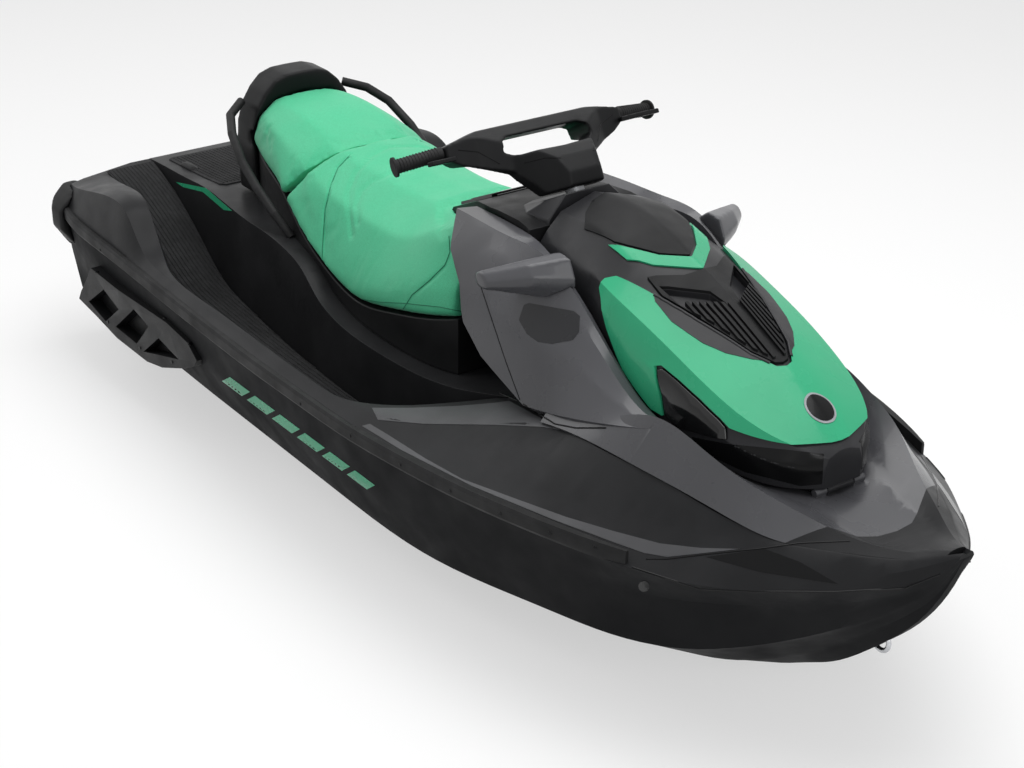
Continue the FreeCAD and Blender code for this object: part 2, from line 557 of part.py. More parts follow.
# Bow cover
bow_lines = [high_points(bow_bed_shares), high_points(bow_edge_shares), high_points(bow_cheek_shares),
             high_points(bow_ridge_shares), high_points(bow_mid_shares)]
bow = whole_body(bow_lines)
bow = bow.cut(bin_hole)
bow = bow.cut(deck)
bow = bow.cut(panel)
bow = bow.cut(port_too(panel))
nose_joint_shares = [(0.650, 1.10), (0.655, 0.80), (0.668, 0.733), (0.697, 0.633), (0.750, 0.520), (0.803, 0.416),
                     (0.828, 0.300), (0.856, 0.170), (0.876, 0.080), (0.880, 0)]
joint_half = [(along(x), across(y)) for x, y in nose_joint_shares]
joint_corners = joint_half + [(x, -y) for x, y in reversed(joint_half[:-1])]
joint_corners += [(half_length + cut_overrun, joint_corners[-1][1]), (half_length + cut_overrun, joint_half[0][1])]
nose_block = plan_prism(joint_corners, hull_depth / 2, hull_depth + upper_height)
nose = one_piece(bow.common(nose_block).fuse(deck.common(nose_block)).cut(hull))
bow = one_piece(bow.cut(nose_block))
deck = one_piece(deck.cut(nose_block))

# Front lid: a black shell that carries the bright panel, the louvres and the lamps
hood_lines = [high_points(hood_rim_shares), high_points(hood_flank_shares), high_points(hood_edge_shares),
              high_points(hood_brow_shares), high_points(hood_mid_shares)]
hood = whole_body(hood_lines)
skin = val("panel_skin")
hood_outer = whole_body([high_points(hood_rim_shares, -skin, -skin / 2), high_points(hood_flank_shares, -skin, 0),
                         high_points(hood_edge_shares, -skin, -skin),
                         high_points(hood_brow_shares, 0, -skin), high_points(hood_mid_shares, 0, -skin)])
hood_skin = hood_outer.cut(hood)
# Bright panel seen from above: round both sides of the louvre field and over the nose
bright_plan_shares = [(0.392, 0.36), (0.392, 0.285), (0.404, 0.255), (0.425, 0.240), (0.480, 0.200),
                      (0.555, 0.143), (0.620, 0.088), (0.650, 0.036), (0.655, 0)]
bright_half = [(along(x), across(y)) for x, y in bright_plan_shares]
nose_run = half_length
bright_corners = bright_half + [(x, -y) for x, y in reversed(bright_half[:-1])]
bright_corners += [(nose_run, bright_half[0][1] * -1), (nose_run, bright_half[0][1])]
bright_plan = plan_prism(bright_corners, hull_depth, hull_depth + upper_height * 2)
# and from the side: the flank stops above the lamps
bright_side_shares = [(0.38, 0.84), (0.402, 0.761), (0.422, 0.660), (0.450, 0.560), (0.480, 0.470), (0.513, 0.420),
                      (0.551, 0.420), (0.545, 0.495), (0.528, 0.609), (0.540, 0.622), (0.577, 0.597),
                      (0.616, 0.563), (0.655, 0.520), (0.671, 0.497), (0.700, 0.490), (0.740, 0.482),
                      (0.790, 0.462), (0.790, 1.2), (0.38, 1.2)]
bright_side = side_prism([(along(x), height(z)) for x, z in bright_side_shares], -half_beam, half_beam)
bright = one_piece(hood_skin.common(bright_plan).common(bright_side))
lens_side_shares = [(0.534, 0.600), (0.551, 0.505), (0.557, 0.430), (0.580, 0.405), (0.672, 0.452), (0.665, 0.492),
                    (0.652, 0.511), (0.613, 0.553), (0.575, 0.586), (0.542, 0.610)]
lens_block = side_prism([(along(x), height(z)) for x, z in lens_side_shares], -half_beam, half_beam)
lens = hood_skin.common(lens_block)
lenses = Part.makeCompound([s for s in lens.Solids if abs(s.CenterOfMass.y) > half_beam / 6])
chevron_shares = [(0.350, 0.184), (0.406, 0.152), (0.430, 0.090), (0.447, 0), (0.474, 0), (0.454, 0.078),
                  (0.398, 0.188), (0.357, 0.205)]
chevron_half = [(along(x), across(y)) for x, y in chevron_shares]
chevron_corners = chevron_half[:4] + [(x, -y) for x, y in reversed(chevron_half[:3])]
chevron_corners += [(x, -y) for x, y in reversed(chevron_half[5:])] + chevron_half[4:]
chevron_block = plan_prism(chevron_corners, hull_depth, hull_depth + upper_height * 2)
chevron = one_piece(hood_skin.common(chevron_block))
# Hollow under the lid
lid_hollow_shares = [(0.31, 0.72), (0.375, 0.86), (0.46, 0.76), (0.56, 0.62), (0.63, 0.54), (0.63, 0.2),
                     (0.31, 0.2)]
lid_hollow = side_prism([(along(x), height(z)) for x, z in lid_hollow_shares],
                        -across(0.20), across(0.20))
hood_shell = one_piece(hood.cut(lid_hollow))
# Louvre field: a black V with raised slats, sunk between the pod and the bright panel
field_plan_shares = [(0.478, 0.0), (0.470, 0.075), (0.440, 0.185), (0.476, 0.190), (0.551, 0.133),
                     (0.616, 0.078), (0.644, 0.030), (0.648, 0)]
field_half = [(along(x), across(y)) for x, y in field_plan_shares]
field_corners = field_half + [(x, -y) for x, y in reversed(field_half[1:-1])]
field_block = plan_prism(field_corners, hull_depth, hull_depth + upper_height * 2)
field = hood_skin.common(field_block)
# Slats run fore and aft on the field; the scoops are sunk beside them
slat_rise = val("slat_rise")
slat_skin = whole_body([high_points(hood_rim_shares, -skin - slat_rise, -skin / 2),
                        high_points(hood_flank_shares, -skin - slat_rise, 0),
                        high_points(hood_edge_shares, -skin - slat_rise, -skin - slat_rise),
                        high_points(hood_brow_shares, 0, -skin - slat_rise),
                        high_points(hood_mid_shares, 0, -skin - slat_rise)])
slat_block = slat_skin
half_skin = skin / 2
slat_bed = whole_body([high_points(hood_rim_shares, -half_skin, -half_skin / 2),
                       high_points(hood_flank_shares, -half_skin, 0),
                       high_points(hood_edge_shares, -half_skin, -half_skin),
                       high_points(hood_brow_shares, 0, -half_skin), high_points(hood_mid_shares, 0, -half_skin)])
slat_skin = slat_block.cut(slat_bed)
slat_zone_shares = [(0.546, 0.018), (0.508, 0.150), (0.508, 0.178), (0.551, 0.128), (0.614, 0.074), (0.640, 0.028),
                    (0.640, 0.018)]
slat_zone = plan_prism([(along(x), across(y)) for x, y in slat_zone_shares], hull_depth, hull_depth + upper_height * 2)
slat_skin = slat_skin.common(slat_zone)
slat_pitch_share = 0.0205
slat_count = 7
slats = []
for number in range(slat_count):
    inner = across(0.020 + slat_pitch_share * number)
    strip = Part.makeBox(half_length, across(slat_pitch_share * 0.5), upper_height * 2, Vector(0, inner, hull_depth))
    slats += slat_skin.common(strip).Solids
port_slats = slats
slats = port_slats + [port_too(one) for one in port_slats]
scoop_depth = val("scoop_depth")
scoop_shares = [(0.462, 0.178), (0.512, 0.046), (0.538, 0.030), (0.555, 0.036), (0.534, 0.134), (0.504, 0.168)]
scoop_block = plan_prism([(along(x), across(y)) for x, y in scoop_shares], hull_depth, hull_depth + upper_height * 2)
scoop_bed = whole_body([high_points(hood_rim_shares, scoop_depth, skin), high_points(hood_flank_shares, scoop_depth, 0),
                        high_points(hood_edge_shares, scoop_depth, scoop_depth),
                        high_points(hood_brow_shares, 0, scoop_depth), high_points(hood_mid_shares, 0, scoop_depth)])
scoop = slat_block.cut(scoop_bed).common(scoop_block)
scoops = scoop.fuse(port_too(scoop))
field = one_piece(field.cut(scoops).multiFuse(slats))
hood_shell = one_piece(hood_shell.cut(scoops))

# Storage bin, a thick-walled tub whose rim follows the lid
rim_gap = running_gap
bin_rim_shares = [(0.283, 0.68), (0.338, 0.66), (0.410, 0.56), (0.482, 0.425), (0.555, 0.345), (0.639, 0.295)]
bin_side = [(bin_rear, val("bin_bed")), (bin_front, val("bin_bed"))]
bin_side += [(along(x), height(z)) for x, z in reversed(bin_rim_shares)]
bin_side[2] = (bin_front, bin_side[2][1])
bin_side[-1] = (bin_rear, bin_side[-1][1])
tub_solid = side_prism(bin_side, -bin_half, bin_half)
wall = val("bin_wall")
bin_inside = Part.makeBox(bin_front - bin_rear - 2 * wall, 2 * (bin_half - wall), upper_height,
                          Vector(bin_rear + wall, -bin_half + wall, val("bin_bed") + wall))
storage = tub_solid.cut(bin_inside)
storage = storage.cut(panel)
storage = storage.cut(port_too(panel))
storage = storage.cut(deck)
storage = one_piece(storage.cut(hull))
bow = one_piece(bow.cut(storage))

# Console between the seat and the steering column
console_side_shares = [(-0.055, 0.40), (-0.075, 0.62), (-0.055, 0.700), (0.055, 0.845), (0.120, 0.870),
                       (0.180, 0.880), (0.214, 0.870), (0.217, 0.775), (bin_rear_share, 0.735),
                       (bin_rear_share, 0.10), (0.0, 0.10)]
console = side_prism([(along(x), height(z)) for x, z in console_side_shares], -bin_half, bin_half)
waist_shares = [(-0.2, 0.150), (-0.06, 0.165), (-0.02, 0.185), (0.04, 0.235), (0.10, 0.262), (0.20, 0.28),
                (0.30, 0.345)]
waist = [(along(x), across(y)) for x, y in waist_shares]
waist += [(x, -y) for x, y in reversed(waist)]
console = console.common(plan_prism(waist, 0, hull_depth + upper_height * 2))
console = console.cut(panel)
console = console.cut(port_too(panel))
console = one_piece(console.cut(deck))

# Seat: two cushions on one base line
seat_lines = [high_points(seat_bed_shares), high_points(seat_hem_shares), high_points(seat_hip_shares),
              high_points(seat_side_shares), high_points(seat_crown_shares), high_points(seat_top_shares)]
seat = whole_body(seat_lines)
seat = seat.cut(console)
lid_space_share = -0.046
lid_space = side_prism([(along(lid_space_share), height(0.4)), (along(lid_space_share), height(1.2)),
                        (along(0.2), height(1.2)), (along(0.2), height(0.4))], -across(0.165), across(0.165))
seat = seat.cut(lid_space)
break_shares = [(-0.43, 1.2), (-0.375, 0.72), (-0.47, 0.40), (-0.47, 0), (-1, 0), (-1, 1.2)]
rear_block = side_prism([(along(x), height(z)) for x, z in break_shares], -half_beam, half_beam)
seat_rear = one_piece(seat.common(rear_block))
seat_front = one_piece(seat.cut(rear_block))
seat_front = one_piece(seat_front.cut(panel).cut(port_too(panel)))
# Seat base: a black plinth from the deck up to the cushions
plinth_lines = [high_points(seat_bed_shares, 0, upper_height * 0.5), high_points(seat_bed_shares)]
plinth = whole_body(plinth_lines)
below_deck = plan_prism([(-half_length, -half_beam), (half_length, -half_beam), (half_length, half_beam),
                         (-half_length, half_beam)], 0, hull_depth)
plinth = plinth.cut(below_deck)
plinth = plinth.cut(deck_block)
plinth = plinth.cut(deck)
plinth = plinth.cut(console)
plinth = plinth.cut(panel).cut(port_too(panel)).cut(bin_hole)
plinth = Part.makeCompound([s for s in plinth.Solids if s.Volume > 1000 * seam_gap ** 3])

# Hinge of the front lid: a barrel under the lid between two on the bow cover
hinge_radius = val("lid_hinge_radius")
hinge_x = along(0.7685)
hinge_z = height(0.2783)
barrel_half = across(0.060)
barrel_gap = across(0.005)
barrel_end = across(0.115)
hinge_axis = Vector(0, 1, 0)
barrel_web = hinge_radius * 1.3
lid_barrel = Part.makeCylinder(hinge_radius, 2 * barrel_half, Vector(hinge_x, -barrel_half, hinge_z), hinge_axis)
lid_web = Part.makeBox(barrel_web, 2 * barrel_half, hinge_radius * 1.6,
                       Vector(hinge_x - barrel_web / 2, -barrel_half, hinge_z))
hood_shell = one_piece(hood_shell.multiFuse([lid_barrel, lid_web]))
bow_barrel = Part.makeCylinder(hinge_radius, barrel_end - barrel_half - barrel_gap,
                               Vector(hinge_x, barrel_half + barrel_gap, hinge_z), hinge_axis)
bow_web = Part.makeBox(barrel_web, barrel_end - barrel_half - barrel_gap, hinge_radius * 2.4,
                       Vector(hinge_x - barrel_web / 2, barrel_half + barrel_gap, hinge_z - hinge_radius * 2.4))
bow_barrel = bow_barrel.fuse(bow_web)
bow = one_piece(bow.multiFuse([bow_barrel, port_too(bow_barrel)]))

keep("hull", hull)
keep("deck", deck)
keep("side_panel_left", port_too(panel) if panel.CenterOfMass.y < 0 else panel)
keep("side_panel_right", panel if panel.CenterOfMass.y < 0 else port_too(panel))
keep("bow_deck", bow)
keep("bow_tip", nose)
keep("storage_bin", storage)
keep("seat_front", seat_front)
keep("seat_rear", seat_rear)
keep("seat_base", plinth)
keep("hood_shell", hood_shell)
keep("hood_panel", bright)
keep("hood_chevron", chevron)
keep("hood_louvres", field)
keep("hood_lenses", lenses)


# Rub rail along both sides
def rail_points(outward, rise):
    """Points beside the bond line up to where the rail ends at the bow."""
    points = []
    for p, (x, y, z) in zip(high_points(bond_shares), bond_shares):
        share = min(1, max(0, (rail_end_share - x) / rail_fade_share))
        if x <= rail_end_share:
            points.append(Vector(p.x, p.y - rail_out * share + outward * share - rail_out * (1 - share), p.z + rise))
    return points


rail_out = val("rail_thickness")
rail_low = -val("rail_rise")
rail_high = val("rail_height") - val("rail_rise")
rail_round = val("rail_height") / 5
rail = ruled_body([rail_points(-rail_out, rail_low), rail_points(rail_out * 0.6, rail_low),
                   rail_points(rail_out, rail_low + rail_round), rail_points(rail_out, rail_high - rail_round),
                   rail_points(rail_out * 0.6, rail_high), rail_points(-rail_out, rail_high)])
rail = one_piece(rail.cut(hull).cut(deck))
keep("bumper_rail", Part.makeCompound([rail, port_too(rail)]))

# Corner bumpers at the stern
corner_plan_shares = [(-0.935, 0.780), (-0.935, 0.950), (-0.958, 0.950), (-0.976, 0.936), (-0.990, 0.905),
                      (-0.997, 0.860), (-1.0, 0.800), (-1.0, 0.700), (-0.972, 0.700)]
corner_block = plan_prism([(along(x), across(y)) for x, y in corner_plan_shares], 0, hull_depth + upper_height)
corner_end_shares = [(0.700, -0.235), (0.800, -0.238), (0.842, -0.203), (0.905, -0.100), (0.935, -0.060),
                     (0.935, 0.045), (0.905, 0.085), (0.840, 0.142), (0.780, 0.142), (0.700, 0.110)]
corner_block = corner_block.common(section_prism([(across(y), height(z)) for y, z in corner_end_shares],
                                                 -half_length, 0))
corner_block = corner_block.cut(hull).cut(deck).cut(rail)
corner = one_piece(corner_block)
keep("stern_bumpers", Part.makeCompound([corner, port_too(corner)]))

# Side sponsons: a boat-shaped fin with three pockets in its outer face
sponson_side_shares = [(-0.850, 0.518), (-0.836, 0.600), (-0.808, 0.718), (-0.784, 0.845), (-0.730, 0.840),
                       (-0.675, 0.833), (-0.555, 0.850), (-0.482, 0.858), (-0.405, 0.825), (-0.374, 0.741),
                       (-0.386, 0.680), (-0.422, 0.612), (-0.512, 0.482), (-0.573, 0.435), (-0.693, 0.435),
                       (-0.772, 0.482)]
sponson_back = half_beam * 0.80
sponson_face = half_beam * 0.972
sponson_body = side_prism([(along(x), hull_depth * z) for x, z in sponson_side_shares],
                          sponson_back, sponson_face)
pocket_shares = [[(-0.805, 0.558), (-0.733, 0.751), (-0.675, 0.680), (-0.737, 0.501)],
                 [(-0.694, 0.522), (-0.611, 0.772), (-0.555, 0.725), (-0.610, 0.515)],
                 [(-0.583, 0.496), (-0.518, 0.692), (-0.444, 0.645)]]
pocket_depth = val("sponson_thickness") * 0.6
for corners in pocket_shares:
    pocket = side_prism([(along(x), hull_depth * z) for x, z in corners],
                        sponson_face - pocket_depth, sponson_face + cut_overrun)
    sponson_body = sponson_body.cut(pocket)
sponson_body = one_piece(sponson_body.cut(hull))
keep("sponson_left", sponson_body)
keep("sponson_right", port_too(sponson_body))

# Engine: one plain block on the bay floor
engine = doc.addObject("Part::Box", "engine_block")
engine.Label = "engine_block"
engine.setExpression("Length", "sizes.engine_length")
engine.setExpression("Width", "sizes.engine_width")
engine.setExpression("Height", "sizes.engine_height")
engine.setExpression("Placement.Base.x", "sizes.engine_front - sizes.engine_length")
engine.setExpression("Placement.Base.y", "-sizes.engine_width / 2")
engine.setExpression("Placement.Base.z", "sizes.bay_floor")
pieces["engine_block"] = engine

# Ride plate, flush under the pump tunnel
plate_top = val("plate_thickness")
plate_back = -half_length * 0.978
ride_sketch_corners = [(-tunnel_half * 0.88, 0), (tunnel_half * 0.88, 0), (tunnel_half, plate_top * 0.5),
                       (tunnel_half, plate_top), (-tunnel_half, plate_top), (-tunnel_half, plate_top * 0.5)]
ride = section_prism(ride_sketch_corners, plate_back, tunnel_front)
keep("ride_plate", one_piece(ride.cut(hull)))

# Intake grate: bars along the keel
grate_bar = val("grate_bar")
bars = []
for place in (-2, -1, 0, 1, 2):
    bar = Part.makeBox(along(0.25), grate_bar, grate_bar * 1.6,
                       Vector(tunnel_front + along(0.011), place * intake_half * 0.36 - grate_bar / 2, grate_bar * 0.2))
    bars.append(bar)
for x_share in (0.081, 0.181):
    bars.append(Part.makeBox(grate_bar, 2 * intake_half, grate_bar,
                             Vector(tunnel_front + along(x_share), -intake_half, grate_bar * 1.7)))
grate = bars[0].multiFuse(bars[1:]).cut(hull)
keep("intake_grate", one_piece(grate.cut(ride)))

# Jet pump housing with stator vanes and the ears that carry nozzle and bucket
pump_axis = val("pump_axis_height")
pump_bore = val("pump_bore")
pump_wall = val("pump_wall")
pump_front = tunnel_front
pump_back = pump_front - val("pump_length")
pump_outer = pump_bore + pump_wall
flange_radius = pump_bore + pump_wall * 2.6
neck = pump_bore * 0.80
hub_radius = val("hub_radius")


def turned(profile, axis_z):
    """A ring round the pump axis from a profile of (x, radius) corners."""
    corners = [Vector(x, 0, axis_z + r) for x, r in profile]
    face = Part.Face(Part.makePolygon(corners + [corners[0]]))
    return face.revolve(Vector(0, 0, axis_z), Vector(1, 0, 0), 360)


cone_start = pump_front - val("pump_length") * 0.6
housing = turned([(pump_front, pump_bore), (pump_front, flange_radius), (pump_front - pump_wall, flange_radius),
                  (pump_front - pump_wall * 1.5, pump_outer), (cone_start, pump_outer),
                  (pump_back, neck + pump_wall), (pump_back, neck), (cone_start, pump_bore)], pump_axis)
stator_front = pump_front - val("pump_length") * 0.56
stator_hub = turned([(stator_front, 0), (stator_front, hub_radius), (pump_back + pump_wall, hub_radius),
                     (pump_back - pump_wall * 2, hub_radius * 0.3), (pump_back - pump_wall * 2, 0)], pump_axis)
stub_bore = Part.makeCylinder(val("shaft_radius") + val("pin_clearance"), val("pump_length") * 0.16,
                              Vector(stator_front - val("pump_length") * 0.16, 0, pump_axis), Vector(1, 0, 0))
stator_hub = stator_hub.cut(stub_bore)
vane_depth = val("pump_length") * 0.30
vane = Part.makeBox(vane_depth, val("blade_thickness"), pump_bore - hub_radius * 0.5,
                    Vector(stator_front - vane_depth * 1.1, -val("blade_thickness") / 2,
                           pump_axis + hub_radius * 0.7))
vanes = []
for turn in range(6):
    one = vane.copy()
    one.rotate(Vector(0, 0, pump_axis), Vector(1, 0, 0), turn * 60)
    vanes.append(one)
pivot = val("pivot_radius")
bore_radius = pivot + val("pin_clearance")
nozzle_pivot_x = pump_back - pivot * 1.8
ear_outer = pump_outer + pivot * 3.5
ear_inner = pump_outer + pivot * 2.1
ear_post = pump_back + pivot * 4
web_post = pump_back + pivot * 6.4
ear = side_prism([(nozzle_pivot_x - pivot * 2, ear_inner), (ear_post, ear_inner),
                  (ear_post, neck + pump_wall * 0.8), (ear_post + pivot * 3.4, pump_bore + pump_wall / 2),
                  (ear_post + pivot * 3.4, ear_outer), (nozzle_pivot_x - pivot * 2, ear_outer)],
                 -pivot * 2, pivot * 2)
ear.translate(Vector(0, 0, pump_axis))
ear = ear.cut(Part.makeCylinder(bore_radius, half_beam, Vector(nozzle_pivot_x, 0, pump_axis)))
ear_below = ear.copy()
ear_below.rotate(Vector(0, 0, pump_axis), Vector(1, 0, 0), 180)
bucket_half = val("bucket_width") / 2
bucket_wall = val("bucket_wall")
arm_inner = bucket_half + running_gap
arm_outer = arm_inner + pivot * 1.5
bucket_x = pump_back - pivot * 6.6
arm_outline = [(web_post + pivot * 3.4, -pivot * 2), (web_post + pivot * 3.4, pivot * 2),
               (bucket_x, pivot * 2), (bucket_x - pivot * 1.6, pivot * 1.2), (bucket_x - pivot * 1.6, -pivot * 1.2),
               (bucket_x, -pivot * 2)]
arm = side_prism([(x, pump_axis + z) for x, z in arm_outline], arm_inner, arm_outer)
web = Part.makeBox(pivot * 3.4, arm_outer - pump_bore - pump_wall / 2, pivot * 4,
                   Vector(web_post, pump_bore + pump_wall / 2, pump_axis - pivot * 2))
arm = arm.fuse(web)
arm = arm.cut(Part.makeCylinder(bore_radius, half_beam * 2, Vector(bucket_x, -half_beam, pump_axis),
                                Vector(0, 1, 0)))
pump = housing.multiFuse([stator_hub, ear, ear_below, arm, port_too(arm)] + vanes)
keep("pump_housing", one_piece(pump))

# Impeller: three swept blades on a hub, with the drive shaft forward to the engine
impeller_front = pump_front - running_gap
impeller_back = impeller_front - val("impeller_length")
tip_radius = pump_bore - val("blade_gap")
hub = turned([(impeller_front, 0), (impeller_front, hub_radius * 0.8), (impeller_front - hub_radius, hub_radius),
              (impeller_back, hub_radius), (impeller_back, 0)], pump_axis)
blade_steps = 5
sweep = 85
half_blade = val("blade_thickness") / 2
blade_wires = []
for step in range(blade_steps):
    part = step / (blade_steps - 1)
    x = impeller_front - hub_radius * 0.3 - (val("impeller_length") - hub_radius * 0.4) * part
    corners = [Vector(x, -half_blade, hub_radius * 0.6), Vector(x, half_blade, hub_radius * 0.6),
               Vector(x, half_blade, tip_radius), Vector(x, -half_blade, tip_radius)]
    wire = Part.makePolygon(corners + [corners[0]])
    wire.rotate(Vector(0, 0, 0), Vector(1, 0, 0), sweep * part)
    wire.translate(Vector(0, 0, pump_axis))
    blade_wires.append(wire)
blade = Part.makeLoft(blade_wires, True, False)
blades = []
for turn in range(3):
    one = blade.copy()
    one.rotate(Vector(0, 0, pump_axis), Vector(1, 0, 0), turn * 120)
    blades.append(one)
engine_back = val("engine_front") - val("engine_length")
shaft = Part.makeCylinder(val("shaft_radius"), engine_back - running_gap - impeller_front + hub_radius,
                          Vector(impeller_front - hub_radius, 0, pump_axis), Vector(1, 0, 0))
stub = Part.makeCylinder(val("shaft_radius"), impeller_back - stator_front + val("pump_length") * 0.14,
                         Vector(stator_front - val("pump_length") * 0.14, 0, pump_axis), Vector(1, 0, 0))
impeller = hub.multiFuse(blades + [shaft, stub])
keep("impeller", one_piece(impeller))

# Steering nozzle on two upright pins
mouth = val("nozzle_mouth")
nozzle_wall = val("nozzle_wall")
bell = pump_outer + nozzle_wall * 0.9
bell_front = pump_back
nozzle_back = nozzle_pivot_x - val("nozzle_length") * 0.92
bell_back = nozzle_pivot_x - pivot * 2.6
nozzle = turned([(bell_front, bell), (bell_front, bell + nozzle_wall), (bell_back, bell + nozzle_wall),
                 (nozzle_back, mouth + nozzle_wall), (nozzle_back, mouth), (bell_back, bell)], pump_axis)
pin = Part.makeCylinder(pivot, ear_outer - bell, Vector(nozzle_pivot_x, 0, pump_axis + bell))
pin = pin.fuse(Part.makeCylinder(pivot, ear_outer - bell, Vector(nozzle_pivot_x, 0, pump_axis - ear_outer)))
nozzle = nozzle.fuse(pin)
keep("steering_nozzle", one_piece(nozzle))

# Reverse bucket, raised above the jet
bucket_radius = nozzle_back * -1 + bucket_x + mouth * 0.62
start_angle = 35
end_angle = 96
arc_steps = 8


def bucket_point(radius, angle):
    """A point round the bucket pivot; the angle rises from straight aft."""
    turn = math.radians(angle)
    return (bucket_x - radius * math.cos(turn), pump_axis + radius * math.sin(turn))


angles = [start_angle + (end_angle - start_angle) * i / arc_steps for i in range(arc_steps + 1)]
arc_outline = [bucket_point(bucket_radius, a) for a in angles]
arc_outline += [bucket_point(bucket_radius + bucket_wall, a) for a in reversed(angles)]
bucket = side_prism(arc_outline, -bucket_half, bucket_half)
cheek_outline = [bucket_point(bucket_radius + bucket_wall / 2, a) for a in angles]
cheek_outline += [bucket_point(pivot * 1.9, a) for a in (180, 225, 270, 315, 0)]
cheek = side_prism(cheek_outline, bucket_half - bucket_wall, bucket_half)
bucket_pin = Part.makeCylinder(pivot, arm_outer - bucket_half, Vector(bucket_x, bucket_half, pump_axis),
                               Vector(0, 1, 0))
cheek = cheek.fuse(bucket_pin)
bucket = bucket.multiFuse([cheek, port_too(cheek)])
keep("reverse_bucket", one_piece(bucket))

# Console pocket and its lid
lid_back_share = -0.040
lid_front_share = 0.045
lid_thickness = seam_gap * 3
pocket_half = across(0.13)
lid_half = across(0.155)


def console_line(x):
    """Height of the slanted console face at x."""
    low_x, low_z = along(-0.055), height(0.700)
    high_x, high_z = along(0.055), height(0.845)
    return low_z + (high_z - low_z) * (x - low_x) / (high_x - low_x)


rest_gap = val("rest_gap")


lid_back = along(lid_back_share)
lid_front = along(lid_front_share)
pocket_wall = seam_gap * 4
console_pocket = side_prism([(lid_back + pocket_wall, console_line(lid_back) + cut_overrun),
                             (lid_front - pocket_wall, console_line(lid_front) + cut_overrun),
                             (lid_front - pocket_wall, height(0.62)), (lid_back + pocket_wall, height(0.56))],
                            -pocket_half, pocket_half)
pin_radius = val("console_pin_radius")
pin_start = Vector(lid_front, -pocket_half, console_line(lid_front) + rest_gap)
lid_pin = Part.makeCylinder(pin_radius, 2 * pocket_half, pin_start, Vector(0, 1, 0))
pin_groove = Part.makeCylinder(pin_radius + rest_gap, 2 * pocket_half + 2 * rest_gap,
                               pin_start - Vector(0, rest_gap, 0), Vector(0, 1, 0))
console = one_piece(console.cut(console_pocket).cut(pin_groove))
keep("console", console)
lid_low = [(x, console_line(x) + rest_gap) for x in (lid_back, lid_front)]
lid_high = [(x, z + lid_thickness) for x, z in reversed(lid_low)]
console_lid = one_piece(side_prism(lid_low + lid_high, -lid_half, lid_half).fuse(lid_pin))
keep("glovebox_lid", console_lid)

# Steering column, on an axis that leans back
pivot_x = along(0.190)
pivot_z = height(0.878)
tilt = val("column_tilt")
turn_axis = Vector(-math.sin(math.radians(tilt)), 0, math.cos(math.radians(tilt)))


def leaned(shape):
    """From the upright frame of the column to the frame of the craft."""
    lean = FreeCAD.Placement(Vector(pivot_x, 0, pivot_z), FreeCAD.Rotation(Vector(0, 1, 0), -tilt))
    return shape.transformed(lean.toMatrix())


def bar_x(share):
    return share * half_beam


neck_profile = [(0, -0.16), (0.185, -0.16), (0.170, -0.04), (0.125, 0.012), (0.108, 0.062), (0, 0.062)]
neck_corners = [Vector(bar_x(r), 0, bar_x(z)) for r, z in neck_profile]
neck_cover = Part.Face(Part.makePolygon(neck_corners + [neck_corners[0]]))
neck_cover = neck_cover.revolve(Vector(0, 0, 0), Vector(0, 0, 1), 360)
column_radius = val("column_radius")
bearing = Part.makeCylinder(column_radius + val("pin_clearance"), half_beam, Vector(0, 0, -half_beam / 2))
neck_cover = neck_cover.cut(bearing)
neck_cover = leaned(neck_cover).cut(console).cut(hood)
keep("steering_neck", one_piece(neck_cover))

bar_side_shares = [(-0.250, 0.285), (-0.245, 0.372), (-0.225, 0.400), (-0.165, 0.400), (-0.120, 0.365),
                   (-0.060, 0.300), (0.030, 0.250), (0.075, 0.215), (0.112, 0.140), (0.105, 0.082),
                   (-0.060, 0.082), (-0.135, 0.180), (-0.160, 0.270)]
bar_block = side_prism([(bar_x(x), bar_x(z)) for x, z in bar_side_shares], -half_beam, half_beam)
bar_plan_shares = [(0.112, 0.075), (0.040, 0.118), (-0.075, 0.190), (-0.135, 0.300), (-0.155, 0.425),
                   (-0.235, 0.425), (-0.252, 0.290)]
bar_half = [(bar_x(x), bar_x(y)) for x, y in bar_plan_shares]
bar_block = bar_block.common(plan_prism(bar_half + [(x, -y) for x, y in reversed(bar_half)], 0, half_beam))
# Seen along the lean: two horns with a loop between them
bar_front_shares = [(0, 0.400), (0.270, 0.400), (0.360, 0.380), (0.425, 0.367), (0.425, 0.310), (0.370, 0.275),
                    (0.270, 0.235), (0.190, 0.200), (0.150, 0.120), (0.135, 0.082), (0, 0.082)]
bar_face = [(bar_x(y), bar_x(z)) for y, z in bar_front_shares]
bar_block = bar_block.common(section_prism(bar_face + [(-y, z) for y, z in reversed(bar_face[1:-1])],
                                           -half_beam, half_beam))
slot_shares = [(0, 0.345), (0.170, 0.345), (0.205, 0.330), (0.210, 0.285), (0.170, 0.262), (0, 0.255)]
slot_face = [(bar_x(y), bar_x(z)) for y, z in slot_shares]
bar_block = bar_block.cut(section_prism(slot_face + [(-y, z) for y, z in reversed(slot_face[1:-1])],
                                        -half_beam, half_beam))
handlebar = one_piece(leaned(bar_block))
keep("handlebar", handlebar)
column = Part.makeCylinder(column_radius, bar_x(0.23), Vector(0, 0, bar_x(-0.10)))
column = leaned(column)
column = one_piece(column.cut(handlebar))
column_hole = Part.makeCylinder(column_radius + running_gap, bar_x(0.5), Vector(0, 0, bar_x(-0.15)))
console_cut = leaned(column_hole)
console = one_piece(console.cut(console_cut))
pieces["console"].Shape = console
keep("steering_column", column)
grip_radius = val("grip_radius")
grip_start = Vector(bar_x(-0.195), bar_x(0.425), bar_x(0.345))
grip_end = Vector(bar_x(-0.242), bar_x(0.625), bar_x(0.338))
grip_run = grip_end - grip_start
grip_length = grip_run.Length
grip = Part.makeCylinder(grip_radius, grip_length, grip_start, grip_run)
